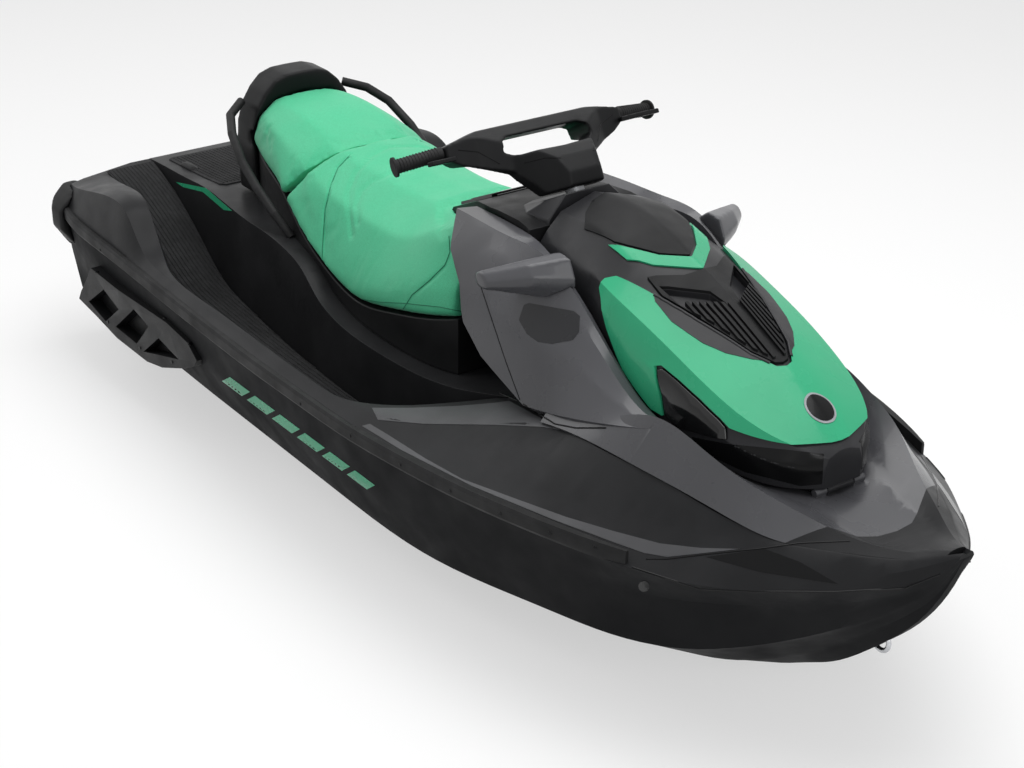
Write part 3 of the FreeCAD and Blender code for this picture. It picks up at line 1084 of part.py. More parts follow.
flange = Part.makeCylinder(val("grip_flange"), grip_radius / 3, grip_end - grip_run * 0.05, grip_run)
grip = grip.fuse(flange)
grip_left = leaned(grip.copy())
keep("grip_left", one_piece(grip_left.cut(handlebar)))
keep("grip_right", one_piece(port_too(grip_left.cut(handlebar))))
lever_thickness = grip_radius * 0.35
throttle = plan_prism([(bar_x(-0.165), -bar_x(0.400)), (bar_x(-0.130), -bar_x(0.405)),
                       (bar_x(-0.120), -bar_x(0.520)), (bar_x(-0.150), -bar_x(0.530))],
                      bar_x(0.300), bar_x(0.300) + lever_thickness * 2)
keep("throttle_lever", one_piece(leaned(throttle).cut(handlebar)))
brake = plan_prism([(bar_x(-0.165), bar_x(0.400)), (bar_x(-0.125), bar_x(0.400)), (bar_x(-0.105), bar_x(0.500)),
                    (bar_x(-0.120), bar_x(0.590)), (bar_x(-0.135), bar_x(0.590)), (bar_x(-0.128), bar_x(0.500))],
                   bar_x(0.305), bar_x(0.305) + lever_thickness * 2)
keep("brake_lever", one_piece(leaned(brake).cut(handlebar)))

# Mirrors: tapered pods on the knee panels, glass facing aft
mirror_root_shares = [(0.286, 0.652), (0.289, 0.826), (0.322, 0.897), (0.350, 0.896),
                      (0.364, 0.812), (0.362, 0.767), (0.341, 0.704)]
mirror_middle_shares = [(0.268, 0.708), (0.265, 0.800), (0.295, 0.864), (0.319, 0.870),
                        (0.333, 0.826), (0.330, 0.783), (0.319, 0.736)]
mirror_tip_shares = [(0.258, 0.762), (0.257, 0.810), (0.266, 0.824), (0.277, 0.821),
                     (0.286, 0.794), (0.285, 0.764), (0.273, 0.750)]
mirror_wires = []
for shares, y_share in ((mirror_root_shares, 0.354), (mirror_middle_shares, 0.494), (mirror_tip_shares, 0.622)):
    corners = [Vector(along(x), across(y_share), height(z)) for x, z in shares]
    mirror_wires.append(Part.makePolygon(corners + [corners[0]]))
mirror = Part.makeLoft(mirror_wires, True, True)
mirror = one_piece(mirror.cut(panel).cut(port_too(panel)))
# The glass is the rear face of the pod, cut a little inside its ends
glass_edge_shares = [(0.2835, 0.400), (0.2670, 0.494), (0.2595, 0.590)]
glass_edge = [(along(x) + val("glass_thickness"), across(y)) for x, y in glass_edge_shares]
glass_cut = plan_prism(glass_edge + [(0, glass_edge[-1][1]), (0, glass_edge[0][1])], 0, hull_depth + upper_height * 2)
glass = one_piece(mirror.common(glass_cut))
mirror = one_piece(mirror.cut(glass_cut))
keep("mirror_left", mirror)
keep("mirror_right", port_too(mirror))
keep("mirror_glass_left", glass)
keep("mirror_glass_right", port_too(glass))

# Seat back shell and the two grab rails beside the rear seat
back_section_shares = [(0, 0.872), (0.088, 0.868), (0.143, 0.848), (0.196, 0.796), (0.241, 0.722), (0.270, 0.626),
                       (0.279, 0.513), (0.275, 0.26), (0, 0.26)]
back_half = [(across(y), height(z)) for y, z in back_section_shares]
back_corners = back_half + [(-y, z) for y, z in reversed(back_half[1:-1])]
seat_back = section_prism(back_corners, along(-0.695), along(-0.632))
seat_back = one_piece(seat_back.cut(seat).cut(deck).cut(plinth))
keep("seat_back", seat_back)
rail_route_shares = [(-0.672, 0.274, 0.736), (-0.645, 0.370, 0.704), (-0.603, 0.424, 0.652), (-0.549, 0.456, 0.557),
                     (-0.494, 0.459, 0.461), (-0.452, 0.440, 0.369), (-0.425, 0.398, 0.261)]
route = [Vector(along(x), across(y), height(z)) for x, y, z in rail_route_shares]
handle_radius = val("handle_radius")
rod = []
for start, end in zip(route, route[1:]):
    rod.append(Part.makeCylinder(handle_radius, (end - start).Length, start, end - start))
for joint in route[1:-1]:
    rod.append(Part.makeSphere(handle_radius, joint))
grab = rod[0].multiFuse(rod[1:])
grab = one_piece(grab.cut(seat_back).cut(deck).cut(seat).cut(plinth))
keep("grab_rails", Part.makeCompound([grab, port_too(grab)]))

# Foot mats and the rear platform mat
mat = val("mat_thickness")
mat_side = seam_gap
mat_body = ruled_body([high_points(well_bed_out_shares, mat_side), high_points(well_bed_in_shares, -mat_side),
                       high_points(well_bed_in_shares, -mat_side, -mat),
                       high_points(well_bed_out_shares, mat_side, -mat)])
mat_block = plan_prism([(along(-0.96), 0), (along(0.17), 0), (along(0.17), half_beam), (along(-0.96), half_beam)],
                       0, upper_height + hull_depth)
foot_mat = one_piece(mat_body.common(mat_block))
keep("foot_mats", Part.makeCompound([foot_mat, port_too(foot_mat)]))

# Tie-down eyes at the bow and the stern
eye_radius = val("eye_radius")
eye_wire = val("eye_wire")
bow_eye = Part.makeTorus(eye_radius, eye_wire, Vector(along(0.870), 0, hull_depth * 0.64), Vector(0, 1, 0))
keep("bow_eye", one_piece(bow_eye.cut(hull)))
stern_eye = Part.makeTorus(eye_radius, eye_wire, Vector(along(-0.980), across(0.60), hull_depth * 0.80),
                           Vector(0, 0, 1))
stern_eye = one_piece(stern_eye.cut(hull))
keep("stern_eyes", Part.makeCompound([stern_eye, port_too(stern_eye)]))
doc.recompute()
for item in doc.Objects:
    if "Invalid" in item.State or "Error" in item.State:
        raise RuntimeError("failed: " + item.Label)
os.makedirs("parts", exist_ok=True)
for label, item in pieces.items():
    if item.Shape.isNull() or not item.Shape.isValid():
        raise RuntimeError("bad shape: " + label)
for label, item in pieces.items():
    item.Shape.exportStep("parts/%s.step" % label)
    print(label, len(item.Shape.Solids), round(item.Shape.Volume / 1e6, 3))
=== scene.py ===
import bpy
import bmesh
import json
import math
from mathutils import Vector, Matrix
from mathutils.bvhtree import BVHTree
from mathutils.geometry import delaunay_2d_cdt
from mathutils.kdtree import KDTree


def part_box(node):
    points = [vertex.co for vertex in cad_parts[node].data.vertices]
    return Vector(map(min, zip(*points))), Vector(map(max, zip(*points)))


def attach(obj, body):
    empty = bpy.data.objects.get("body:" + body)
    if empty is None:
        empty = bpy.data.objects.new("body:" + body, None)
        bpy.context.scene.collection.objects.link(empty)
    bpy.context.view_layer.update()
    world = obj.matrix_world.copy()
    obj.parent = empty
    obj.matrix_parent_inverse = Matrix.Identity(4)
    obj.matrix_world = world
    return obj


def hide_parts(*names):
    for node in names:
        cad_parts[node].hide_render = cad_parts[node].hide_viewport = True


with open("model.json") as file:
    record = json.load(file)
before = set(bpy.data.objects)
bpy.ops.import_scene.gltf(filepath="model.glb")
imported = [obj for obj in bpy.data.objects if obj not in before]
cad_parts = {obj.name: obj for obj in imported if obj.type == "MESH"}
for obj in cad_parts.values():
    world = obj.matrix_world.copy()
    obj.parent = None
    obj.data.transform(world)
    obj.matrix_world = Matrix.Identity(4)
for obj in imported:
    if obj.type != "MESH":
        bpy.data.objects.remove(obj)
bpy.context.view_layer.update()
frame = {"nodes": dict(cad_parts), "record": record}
nodes = frame["nodes"]
slot_of = {part["node"]: part["material_slot"] for part in frame["record"]["subparts"]}
body_of = {node: body for body, group in frame["record"]["behaviour"]["bodies"].items() for node in group}
scene = bpy.context.scene

# ---------------------------------------------------------------- camera
photo_width = 1024
photo_height = 768
focal_pixels = 2105.6
sensor_width = 36
distance = 5.881
azimuth = math.radians(54.852)
elevation = math.radians(25.857)
roll = math.radians(0.208)
aim = Vector((-0.14, 0.118, 0.235))
back = Vector((math.sin(azimuth) * math.cos(elevation), -math.cos(azimuth) * math.cos(elevation),
               math.sin(elevation)))
level = (-back).cross(Vector((0, 0, 1))).normalized()
rise = level.cross(-back)
across = level * math.cos(roll) + rise * math.sin(roll)
upward = rise * math.cos(roll) - level * math.sin(roll)
eye = aim + back * distance
camera = bpy.data.objects.new("camera", bpy.data.cameras.new("camera"))
scene.collection.objects.link(camera)
camera.matrix_world = Matrix(((across.x, upward.x, back.x, eye.x), (across.y, upward.y, back.y, eye.y),
                              (across.z, upward.z, back.z, eye.z), (0, 0, 0, 1)))
camera.data.sensor_width = sensor_width
camera.data.lens = sensor_width * focal_pixels / photo_width
scene.camera = camera


# ---------------------------------------------------------------- finishes
class Finish:
    """A material under construction: its patterns read Object coordinates in metres."""

    def __init__(self, name, colour, rough, metal=0.0, coat=0.0, sheen=0.0, spec=0.5):
        self.material = bpy.data.materials.new(name)
        self.material.use_nodes = True
        self.tree = self.material.node_tree
        self.shader = self.tree.nodes["Principled BSDF"]
        self.colour = colour
        self.rough = rough
        for socket, value in (("Base Color", (*colour, 1)), ("Roughness", rough), ("Metallic", metal),
                              ("Coat Weight", coat), ("Coat Roughness", 0.035), ("Sheen Weight", sheen),
                              ("Specular IOR Level", spec)):
            self.shader.inputs[socket].default_value = value
        self.place = self.tree.nodes.new("ShaderNodeTexCoord").outputs["Object"]

    def link(self, a, b):
        self.tree.links.new(a, b)

    def stretched(self, scale):
        node = self.tree.nodes.new("ShaderNodeMapping")
        node.inputs["Scale"].default_value = scale
        self.link(self.place, node.inputs["Vector"])
        return node.outputs["Vector"]

    def noise(self, scale, detail, stretch=None):
        node = self.tree.nodes.new("ShaderNodeTexNoise")
        node.inputs["Scale"].default_value = scale
        node.inputs["Detail"].default_value = detail
        self.link(self.stretched(stretch) if stretch else self.place, node.inputs["Vector"])
        return node.outputs["Fac"]

    def cells(self, scale, smooth=False):
        node = self.tree.nodes.new("ShaderNodeTexVoronoi")
        node.feature = "SMOOTH_F1" if smooth else "F1"
        node.inputs["Scale"].default_value = scale
        self.link(self.place, node.inputs["Vector"])
        return node.outputs["Distance"]

    def ramp(self, value, low, high, out_low=0.0, out_high=1.0):
        node = self.tree.nodes.new("ShaderNodeMapRange")
        for socket, number in (("From Min", low), ("From Max", high), ("To Min", out_low), ("To Max", out_high)):
            node.inputs[socket].default_value = number
        self.link(value, node.inputs["Value"])
        return node.outputs["Result"]

    def tint(self, value, low, high, other):
        """The colour drifts towards another one where the pattern is strong."""
        node = self.tree.nodes.new("ShaderNodeMix")
        node.data_type = "RGBA"
        inputs = [socket for socket in node.inputs if socket.type == "RGBA"]
        source = self.shader.inputs["Base Color"]
        if source.links:
            self.link(source.links[0].from_socket, inputs[0])
        else:
            inputs[0].default_value = (*self.colour, 1)
        inputs[1].default_value = (*other, 1)
        self.link(self.ramp(value, low, high), node.inputs["Factor"])
        self.link([out for out in node.outputs if out.type == "RGBA"][0], source)
        return self

    def wear(self, value, low, high, spread):
        """Roughness wanders round its middle value."""
        self.link(self.ramp(value, low, high, max(0.02, self.rough - spread), min(1, self.rough + spread)),
                  self.shader.inputs["Roughness"])
        return self

    def relief(self, value, depth, strength):
        """Bumps on top of those that are there already."""
        node = self.tree.nodes.new("ShaderNodeBump")
        node.inputs["Distance"].default_value = depth
        node.inputs["Strength"].default_value = strength
        self.link(value, node.inputs["Height"])
        normal = self.shader.inputs["Normal"]
        if normal.links:
            self.link(normal.links[0].from_socket, node.inputs["Normal"])
        self.link(node.outputs["Normal"], normal)
        return self


def times(colour, factor, offset=0.0):
    return tuple(c * factor + offset for c in colour)


def moulded(name, colour, rough, grain, depth, spec=0.35):
    """Moulded plastic: fine pebble grain, faint scuffs and cloudy colour."""
    f = Finish(name, colour, rough, spec=spec)
    f.tint(f.noise(5, 4), 0.45, 0.75, times(colour, 1.45, 0.002))
    f.tint(f.noise(90, 2, (1, 1, 6)), 0.66, 0.8, times(colour, 1.25))
    f.wear(f.noise(14, 4), 0.3, 0.7, rough * 0.18)
    f.relief(f.cells(grain, smooth=True), depth, 0.5)
    return f.relief(f.noise(26, 2), depth * 1.5, 0.15)


def lacquered(name, colour, rough, coat, spec, flake=0.0):
    """Gloss coat over colour: orange peel, and flakes where asked."""
    f = Finish(name, colour, rough, coat=coat, spec=spec)
    if flake:
        f.tint(f.cells(2600), 0.0, 0.35, times(colour, 1 + flake))
    f.tint(f.noise(3, 3), 0.4, 0.8, times(colour, 0.86))
    f.wear(f.noise(9, 5), 0.3, 0.75, rough * 0.22)
    return f.relief(f.noise(120, 2), 0.00012, 0.25)


def cast(name, colour):
    """Cast metal, cloudy and slightly pitted."""
    f = Finish(name, colour, 0.46, metal=0.9)
    f.tint(f.noise(35, 5), 0.4, 0.7, times(colour, 0.7)).wear(f.noise(20, 4), 0.3, 0.7, 0.12)
    return f.relief(f.noise(420, 3), 0.0003, 0.5)


finishes = {
    "hull": lacquered("hull_gelcoat", (0.0155, 0.0158, 0.0168), 0.62, 0.0, 0.04),
    "deck": moulded("deck_satin", (0.0150, 0.0152, 0.0162), 0.38, 1500, 0.00010, 0.10),
    # A lighter copy of the deck satin: painted highlight for upward-facing deck facets that catch the light.
    "deck_painted_highlight": moulded("deck_satin_painted_highlight", (0.058, 0.0585, 0.062), 0.36, 1500, 0.00010, 0.22),
    "side_panel": lacquered("charcoal_gloss", (0.055, 0.0555, 0.061), 0.30, 0.15, 0.30, flake=0.35),
    "bow_gloss": lacquered("bow_gloss", (0.048, 0.0485, 0.053), 0.30, 0.15, 0.30, flake=0.35),
    "black_plastic": moulded("black_plastic", (0.0072, 0.0074, 0.0079), 0.42, 1300, 0.00016, 0.11),
    "lid_satin": moulded("lid_satin", (0.017, 0.0172, 0.0190), 0.36, 1400, 0.00010, 0.20),
    # A darker copy of the charcoal panel gloss: painted shade for the darker reflection in the side panel's recess.
    "panel_painted_shade": lacquered("charcoal_painted_shade", (0.018, 0.0185, 0.021), 0.28, 0.1, 0.25),
    "gloss_black": lacquered("gloss_black", (0.0040, 0.0041, 0.0045), 0.20, 0.05, 0.12),
    "bright": lacquered("mint_lacquer", (0.032, 0.370, 0.185), 0.27, 0.08, 0.18, flake=0.06),
    "lens": lacquered("lamp_cover", (0.0045, 0.0047, 0.0052), 0.12, 0.2, 0.3),
    "pump_black": moulded("pump_black", (0.018, 0.0185, 0.020), 0.50, 700, 0.0002),
    "pump_metal": cast("cast_pump_metal", (0.42, 0.43, 0.45)),
    "engine": cast("cast_engine", (0.27, 0.28, 0.30)),
}
f = finishes["seat_cover"] = Finish("seat_vinyl", (0.075, 0.540, 0.292), 0.50, sheen=0.10, spec=0.3)
f.tint(f.noise(4, 4), 0.42, 0.72, (0.085, 0.58, 0.32)).tint(f.cells(620), 0.32, 0.6, (0.055, 0.44, 0.23))
f.wear(f.noise(11, 4), 0.3, 0.7, 0.07).relief(f.cells(620, smooth=True), 0.0003, 0.35)
f.relief(f.noise(8, 3), 0.0015, 0.12)
f = finishes["seam_thread"] = Finish("seam_thread", (0.020, 0.170, 0.095), 0.62, spec=0.2)
f.tint(f.noise(300, 2), 0.4, 0.7, (0.028, 0.22, 0.12)).wear(f.noise(40, 3), 0.3, 0.7, 0.1)
f.relief(f.noise(1800, 2), 0.0002, 0.6)
f = finishes["rubber"] = Finish("black_rubber", (0.0072, 0.0073, 0.0077), 0.62, spec=0.22)
f.tint(f.noise(30, 4), 0.45, 0.75, (0.013, 0.013, 0.0138)).wear(f.noise(12, 3), 0.3, 0.7, 0.1)
f.relief(f.noise(900, 2), 0.00012, 0.5)
f = finishes["mat"] = Finish("foam_mat", (0.0125, 0.0127, 0.0134), 0.86, sheen=0.05, spec=0.2)
f.tint(f.noise(40, 4), 0.45, 0.75, (0.020, 0.0202, 0.0215)).wear(f.noise(9, 3), 0.3, 0.7, 0.08)
f.relief(f.cells(520, smooth=True), 0.0005, 0.6)
f = finishes["mirror_glass"] = Finish("mirror_glass", (0.82, 0.84, 0.86), 0.04, metal=1.0)
f.tint(f.noise(20, 2), 0.5, 0.8, (0.74, 0.76, 0.79)).wear(f.noise(60, 3), 0.4, 0.8, 0.02)
f = finishes["steel"] = Finish("brushed_steel", (0.60, 0.61, 0.63), 0.30, metal=1.0)
f.tint(f.noise(60, 4, (1, 8, 8)), 0.4, 0.7, (0.48, 0.49, 0.51)).wear(f.noise(90, 4, (1, 12, 12)), 0.3, 0.7, 0.1)
f.relief(f.noise(400, 3, (1, 10, 10)), 0.0001, 0.3)
f = finishes["pale_line"] = Finish("pale_line", (0.30, 0.31, 0.33), 0.5)
f.tint(f.noise(40, 3), 0.4, 0.7, (0.24, 0.25, 0.265)).wear(f.noise(20, 3), 0.3, 0.7, 0.08)
f.relief(f.noise(700, 2), 0.0001, 0.3)

for name, shape in nodes.items():
    for holder in shape.material_slots:
        holder.material = finishes[slot_of[name]].material

# ---------------------------------------------------------------- making pieces
edge_angle = 28


def piece(name, mesh, finish, body):
    shape = bpy.data.objects.new(name, mesh)
    scene.collection.objects.link(shape)
    mesh.materials.clear()
    mesh.materials.append(finishes[finish].material)
    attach(shape, body)
    return shape


def soften(shape, width, segments=2, angle=edge_angle):
    """Rounds the edges of a finished piece."""
    bevel = shape.modifiers.new("rounded_edges", "BEVEL")
    bevel.width = width
    bevel.segments = segments
    bevel.limit_method = "ANGLE"
    bevel.angle_limit = math.radians(angle)
    bevel.miter_outer = "MITER_ARC"


def smooth_by_angle(form, angle):
    for face in form.faces:
        face.smooth = True
    limit = math.radians(angle)
    for edge in form.edges:
        edge.smooth = len(edge.link_faces) == 2 and edge.calc_face_angle(0) < limit


def as_mesh(form, name):
    mesh = bpy.data.meshes.new(name)
    form.to_mesh(mesh)
    form.free()
    return mesh


def evaluated(shape):
    """The mesh that the modifiers of a helper object make."""
    graph = bpy.context.evaluated_depsgraph_get()
    return bpy.data.meshes.new_from_object(shape.evaluated_get(graph))


def merged_copy(node):
    form = bmesh.new()
    form.from_mesh(nodes[node].data)
    bmesh.ops.remove_doubles(form, verts=form.verts, dist=0.00002)
    return form


def dressed(node, width, finish):
    """The CAD node again as one closed mesh with rounded edges."""
    form = merged_copy(node)
    bmesh.ops.dissolve_limit(form, angle_limit=math.radians(0.6), verts=form.verts, edges=form.edges)
    bmesh.ops.recalc_face_normals(form, faces=form.faces)
    smooth_by_angle(form, edge_angle)
    shape = piece(node + "_dressed", as_mesh(form, node + "_dressed"), finish, body_of[node])
    soften(shape, width)
    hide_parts(node)


trees = {}


def tree_of(targets):
    """One search tree over some CAD nodes, or over a finished piece that was entered by its name."""
    key = tuple(targets)
    if key not in trees:
        points, faces = [], []
        for node in targets:
            mesh = nodes[node].data
            start = len(points)
            points += [v.co.copy() for v in mesh.vertices]
            faces += [[start + i for i in face.vertices] for face in mesh.polygons]
        trees[key] = BVHTree.FromPolygons(points, faces)
    return trees[key]


def sight(px, py):
    """From the eye through a point of the picture."""
    right = across * ((px - photo_width / 2) / focal_pixels)
    down = upward * ((py - photo_height / 2) / focal_pixels)
    return (-back + right - down).normalized()


def landing(targets, u, v, look):
    """Where a point of the picture (look eye) or of the plan (look down) falls, and the normal there."""
    if look == "eye":
        start, way = eye, sight(u, v)
    else:
        start, way = Vector((u, v, 3)), Vector((0, 0, -1))
    hit, normal = tree_of(targets).ray_cast(start, way)[:2]
    if hit is None:
        return None
    return hit, (normal if normal.dot(way) < 0 else -normal)


def dense(outline, step):
    points = []
    for (u, v), (s, t) in zip(outline, outline[1:] + outline[:1]):
        count = max(1, int(math.hypot(s - u, t - v) / step))
        points += [(u + (s - u) * i / count, v + (t - v) * i / count) for i in range(count)]
    return points


def inside(outline, u, v):
    odd = False
    for (a, b), (c, d) in zip(outline, outline[1:] + outline[:1]):
        if (b > v) != (d > v) and u < (c - a) * (v - b) / (d - b) + a:
            odd = not odd
    return odd


def filled(outline, step):
    """Fills an outline with even triangles: their points, the triangles, and the border."""
    border = dense(outline, step)
    low_u, high_u = min(p[0] for p in border), max(p[0] for p in border)
    low_v, high_v = min(p[1] for p in border), max(p[1] for p in border)
    points = list(border)
    too_near = (0.45 * step) ** 2
    for i in range(1, int((high_u - low_u) / step) + 1):
        for j in range(1, int((high_v - low_v) / step) + 1):
            u = low_u + (i + 0.5 * (j % 2)) * step
            v = low_v + j * step
            if inside(outline, u, v) and min((u - p[0]) ** 2 + (v - p[1]) ** 2 for p in border) > too_near:
                points.append((u, v))
    count = len(border)
    only_inside = 1
    result = delaunay_2d_cdt([Vector(p) for p in points], [(i, (i + 1) % count) for i in range(count)],
                             [list(range(count))], only_inside, step * 0.001)
    return result[0], result[2], border


def skin(name, outline, targets, finish, step=4.0, look="eye", up=0.0008, down=0.0006, body="craft",
         twin=True, crown=0.0, edge=0.0):
    """A thin closed piece that lies on its carrier, with the outline given in the picture or in plan."""
    flat, faces, border = filled(outline, step)
    lands = [landing(targets, p.x, p.y, look) for p in flat]
    faces = [face for face in faces if all(lands[i] for i in face)]
    used = sorted({i for face in faces for i in face})
    normals = {i: Vector() for i in used}
    for face in faces:
        a, b, c = [lands[i][0] for i in face[:3]]
        n = (b - a).cross(c - a)
        if n.dot(lands[face[0]][1]) < 0:
            n = -n
        for i in face:
            normals[i] += n
    reach = {i: min(math.hypot(flat[i].x - p[0], flat[i].y - p[1]) for p in border) if crown else 0 for i in used}
    widest = max(reach.values()) or 1
    form = bmesh.new()
    top, low = {}, {}
    for i in used:
        n = normals[i].normalized()
        lift = up + crown * (1 - (1 - reach[i] / widest) ** 2)
        top[i] = form.verts.new(lands[i][0] + n * lift)
        low[i] = form.verts.new(lands[i][0] - n * down)
    rim = {}
    for face in faces:
        form.faces.new([top[i] for i in face])
        form.faces.new([low[i] for i in reversed(face)])
        for i, j in zip(face, face[1:] + face[:1]):
            if (j, i) in rim:
                del rim[(j, i)]
            else:
                rim[(i, j)] = True
    for i, j in rim:
        form.faces.new([top[j], top[i], low[i], low[j]])
    bmesh.ops.recalc_face_normals(form, faces=form.faces)
    smooth_by_angle(form, 35)
    made = []
    for side in ("", "_port") if twin else ("",):
        if side:
            bmesh.ops.scale(form, vec=(1, -1, 1), verts=form.verts)
            bmesh.ops.reverse_faces(form, faces=form.faces)
        mesh = bpy.data.meshes.new(name + side)
        form.to_mesh(mesh)
        shape = piece(name + side, mesh, finish, body)
        if edge:
            soften(shape, edge, 1, 40)
        made.append(shape)
    form.free()
    return made


def lofted(name, rings, finish, edge):
    """A closed form through rings of equal count, each a list of points going round."""
    form = bmesh.new()
    loops = [[form.verts.new(p) for p in ring] for ring in rings]
    for low, high in zip(loops, loops[1:]):
        for i in range(len(low)):
            j = (i + 1) % len(low)
            form.faces.new([low[i], low[j], high[j], high[i]])
    form.faces.new(list(reversed(loops[0])))
    form.faces.new(loops[-1])
    bmesh.ops.recalc_face_normals(form, faces=form.faces)
    smooth_by_angle(form, edge_angle)
    shape = piece(name, as_mesh(form, name), finish, "craft")
    soften(shape, edge)
    return shape


# ---------------------------------------------------------------- repeats by Geometry Nodes
def tree_with(name, numbers):
    group = bpy.data.node_groups.new(name, "GeometryNodeTree")
    group.interface.new_socket("Geometry", in_out="INPUT", socket_type="NodeSocketGeometry")
    group.interface.new_socket("Material", in_out="INPUT", socket_type="NodeSocketMaterial")
    for label, value in numbers:
        socket = group.interface.new_socket(label, in_out="INPUT", socket_type="NodeSocketFloat")
        socket.default_value = value
    group.interface.new_socket("Geometry", in_out="OUTPUT", socket_type="NodeSocketGeometry")
    return group, group.nodes.new("NodeGroupInput"), group.nodes.new("NodeGroupOutput")


def strand_tree():
    """A round strand swept along every path of the mesh."""
    group, start, end = tree_with("strand_along_path", [("Radius", 0.002), ("Sides", 8)])
    curve = group.nodes.new("GeometryNodeMeshToCurve")
    ring = group.nodes.new("GeometryNodeCurvePrimitiveCircle")
    sweep = group.nodes.new("GeometryNodeCurveToMesh")
    sweep.inputs["Fill Caps"].default_value = True
    paint = group.nodes.new("GeometryNodeSetMaterial")
    join = group.links.new
    join(start.outputs["Geometry"], curve.inputs["Mesh"])
    join(start.outputs["Radius"], ring.inputs["Radius"])
    join(start.outputs["Sides"], ring.inputs["Resolution"])
    join(curve.outputs["Curve"], sweep.inputs["Curve"])
    join(ring.outputs["Curve"], sweep.inputs["Profile Curve"])
    join(sweep.outputs["Mesh"], paint.inputs["Geometry"])
    join(start.outputs["Material"], paint.inputs["Material"])
    join(paint.outputs["Geometry"], end.inputs["Geometry"])
    return group


def screw_tree():
    """A screw head on every point, turned to its surface."""
    group, start, end = tree_with("screw_on_point", [("Radius", 0.005), ("Rise", 0.002)])
    head = group.nodes.new("GeometryNodeMeshCone")
    head.inputs["Vertices"].default_value = 14
    head.inputs["Side Segments"].default_value = 1
    top = group.nodes.new("ShaderNodeMath")
    top.operation = "MULTIPLY"
    top_share = 0.72
    top.inputs[1].default_value = top_share
    aim_at = group.nodes.new("GeometryNodeInputNamedAttribute")
    aim_at.data_type = "FLOAT_VECTOR"
    aim_at.inputs["Name"].default_value = "aim"
    turn = group.nodes.new("FunctionNodeAlignEulerToVector")
    turn.axis = "Z"
    put = group.nodes.new("GeometryNodeInstanceOnPoints")
    real = group.nodes.new("GeometryNodeRealizeInstances")
    paint = group.nodes.new("GeometryNodeSetMaterial")
    join = group.links.new
    join(start.outputs["Radius"], head.inputs["Radius Bottom"])
    join(start.outputs["Radius"], top.inputs[0])
    join(top.outputs["Value"], head.inputs["Radius Top"])
    join(start.outputs["Rise"], head.inputs["Depth"])
    join(start.outputs["Geometry"], put.inputs["Points"])
    join(head.outputs["Mesh"], put.inputs["Instance"])
    join(aim_at.outputs["Attribute"], turn.inputs["Vector"])
    join(turn.outputs["Rotation"], put.inputs["Rotation"])
    join(put.outputs["Instances"], real.inputs["Geometry"])
    join(real.outputs["Geometry"], paint.inputs["Geometry"])
    join(start.outputs["Material"], paint.inputs["Material"])
    join(paint.outputs["Geometry"], end.inputs["Geometry"])
    return group


strands = strand_tree()
screws = screw_tree()


def grown(name, seed_mesh, group, numbers, finish, body):
    """Runs a node tree on a seed mesh and keeps the result as a plain mesh."""
    seed = bpy.data.objects.new(name + "_seed", seed_mesh)
    scene.collection.objects.link(seed)
    modifier = seed.modifiers.new("grow", "NODES")
    modifier.node_group = group
    values = {**numbers, "Material": finishes[finish].material}
    for item in group.interface.items_tree:
        if item.item_type == "SOCKET" and item.in_out == "INPUT" and item.name in values:
            modifier[item.identifier] = values[item.name]
    mesh = evaluated(seed)
    bpy.data.objects.remove(seed)
    form = bmesh.new()
    form.from_mesh(mesh)
    bmesh.ops.recalc_face_normals(form, faces=form.faces)
    smooth_by_angle(form, 40)
    form.to_mesh(mesh)
    form.free()
    mesh.name = name
    piece(name, mesh, finish, body)


def lines(name, paths, radius, finish, body="craft", sides=6):
    points, edges = [], []
    for path in paths:
        edges += [(len(points) + i, len(points) + i + 1) for i in range(len(path) - 1)]
        points += path
    mesh = bpy.data.meshes.new(name)
    mesh.from_pydata(points, edges, [])
    grown(name, mesh, strands, {"Radius": radius, "Sides": float(sides)}, finish, body)


def to_port(p):
    return Vector((p.x, -p.y, p.z))


def heads(name, node, places, radius, rise, finish):
    """Screw heads where points of the picture fall on a node, and the same to port."""
    spots = [landing([node], u, v, "eye") for u, v in places]
    spots = [spot for spot in spots if spot]
    spots += [tuple(to_port(p) for p in spot) for spot in spots]
    mesh = bpy.data.meshes.new(name)
    mesh.from_pydata([spot[0] for spot in spots], [], [])
    aims = mesh.attributes.new("aim", "FLOAT_VECTOR", "POINT")
    for i, spot in enumerate(spots):
        aims.data[i].vector = spot[1]
    grown(name, mesh, screws, {"Radius": radius, "Rise": rise}, finish, "craft")


def traced(targets, outline, look, step, lift=0.0):
    """A path that follows its carrier along a line of the picture or the plan."""
    path = []
    for (u, v), (s, t) in zip(outline, outline[1:]):
        count = max(1, int(math.hypot(s - u, t - v) / step))
        for i in range(count + (1 if (s, t) == outline[-1] else 0)):
            found = landing(targets, u + (s - u) * i / count, v + (t - v) * i / count, look)
            if found:
                path.append(found[0] + found[1] * lift)
    return path


def with_port(paths):
    return paths + [[to_port(p) for p in path] for path in paths]


def groove(name, targets, outline, step, radius):
    """A dark joint line along a line of the picture, on both sides."""
    lines(name, with_port([traced(targets, outline, "eye", step)]), radius, "gloss_black", sides=8)


# ---------------------------------------------------------------- mouldings
rounding = {
    "hull": 0.004, "deck": 0.005, "side_panel_left": 0.004, "side_panel_right": 0.004, "bow_deck": 0.004,
    "bow_tip": 0.004, "seat_base": 0.004, "hood_shell": 0.003, "hood_panel": 0.0022, "hood_louvres": 0.0012,
    "hood_lenses": 0.002, "bumper_rail": 0.003, "sponson_left": 0.005, "sponson_right": 0.005, "console": 0.006,
    "glovebox_lid": 0.003, "ride_plate": 0.003, "pump_housing": 0.0015, "steering_nozzle": 0.001,
    "reverse_bucket": 0.0025,
}
for node, width in rounding.items():
    dressed(node, width, "lid_satin" if node == "hood_shell" else slot_of[node])


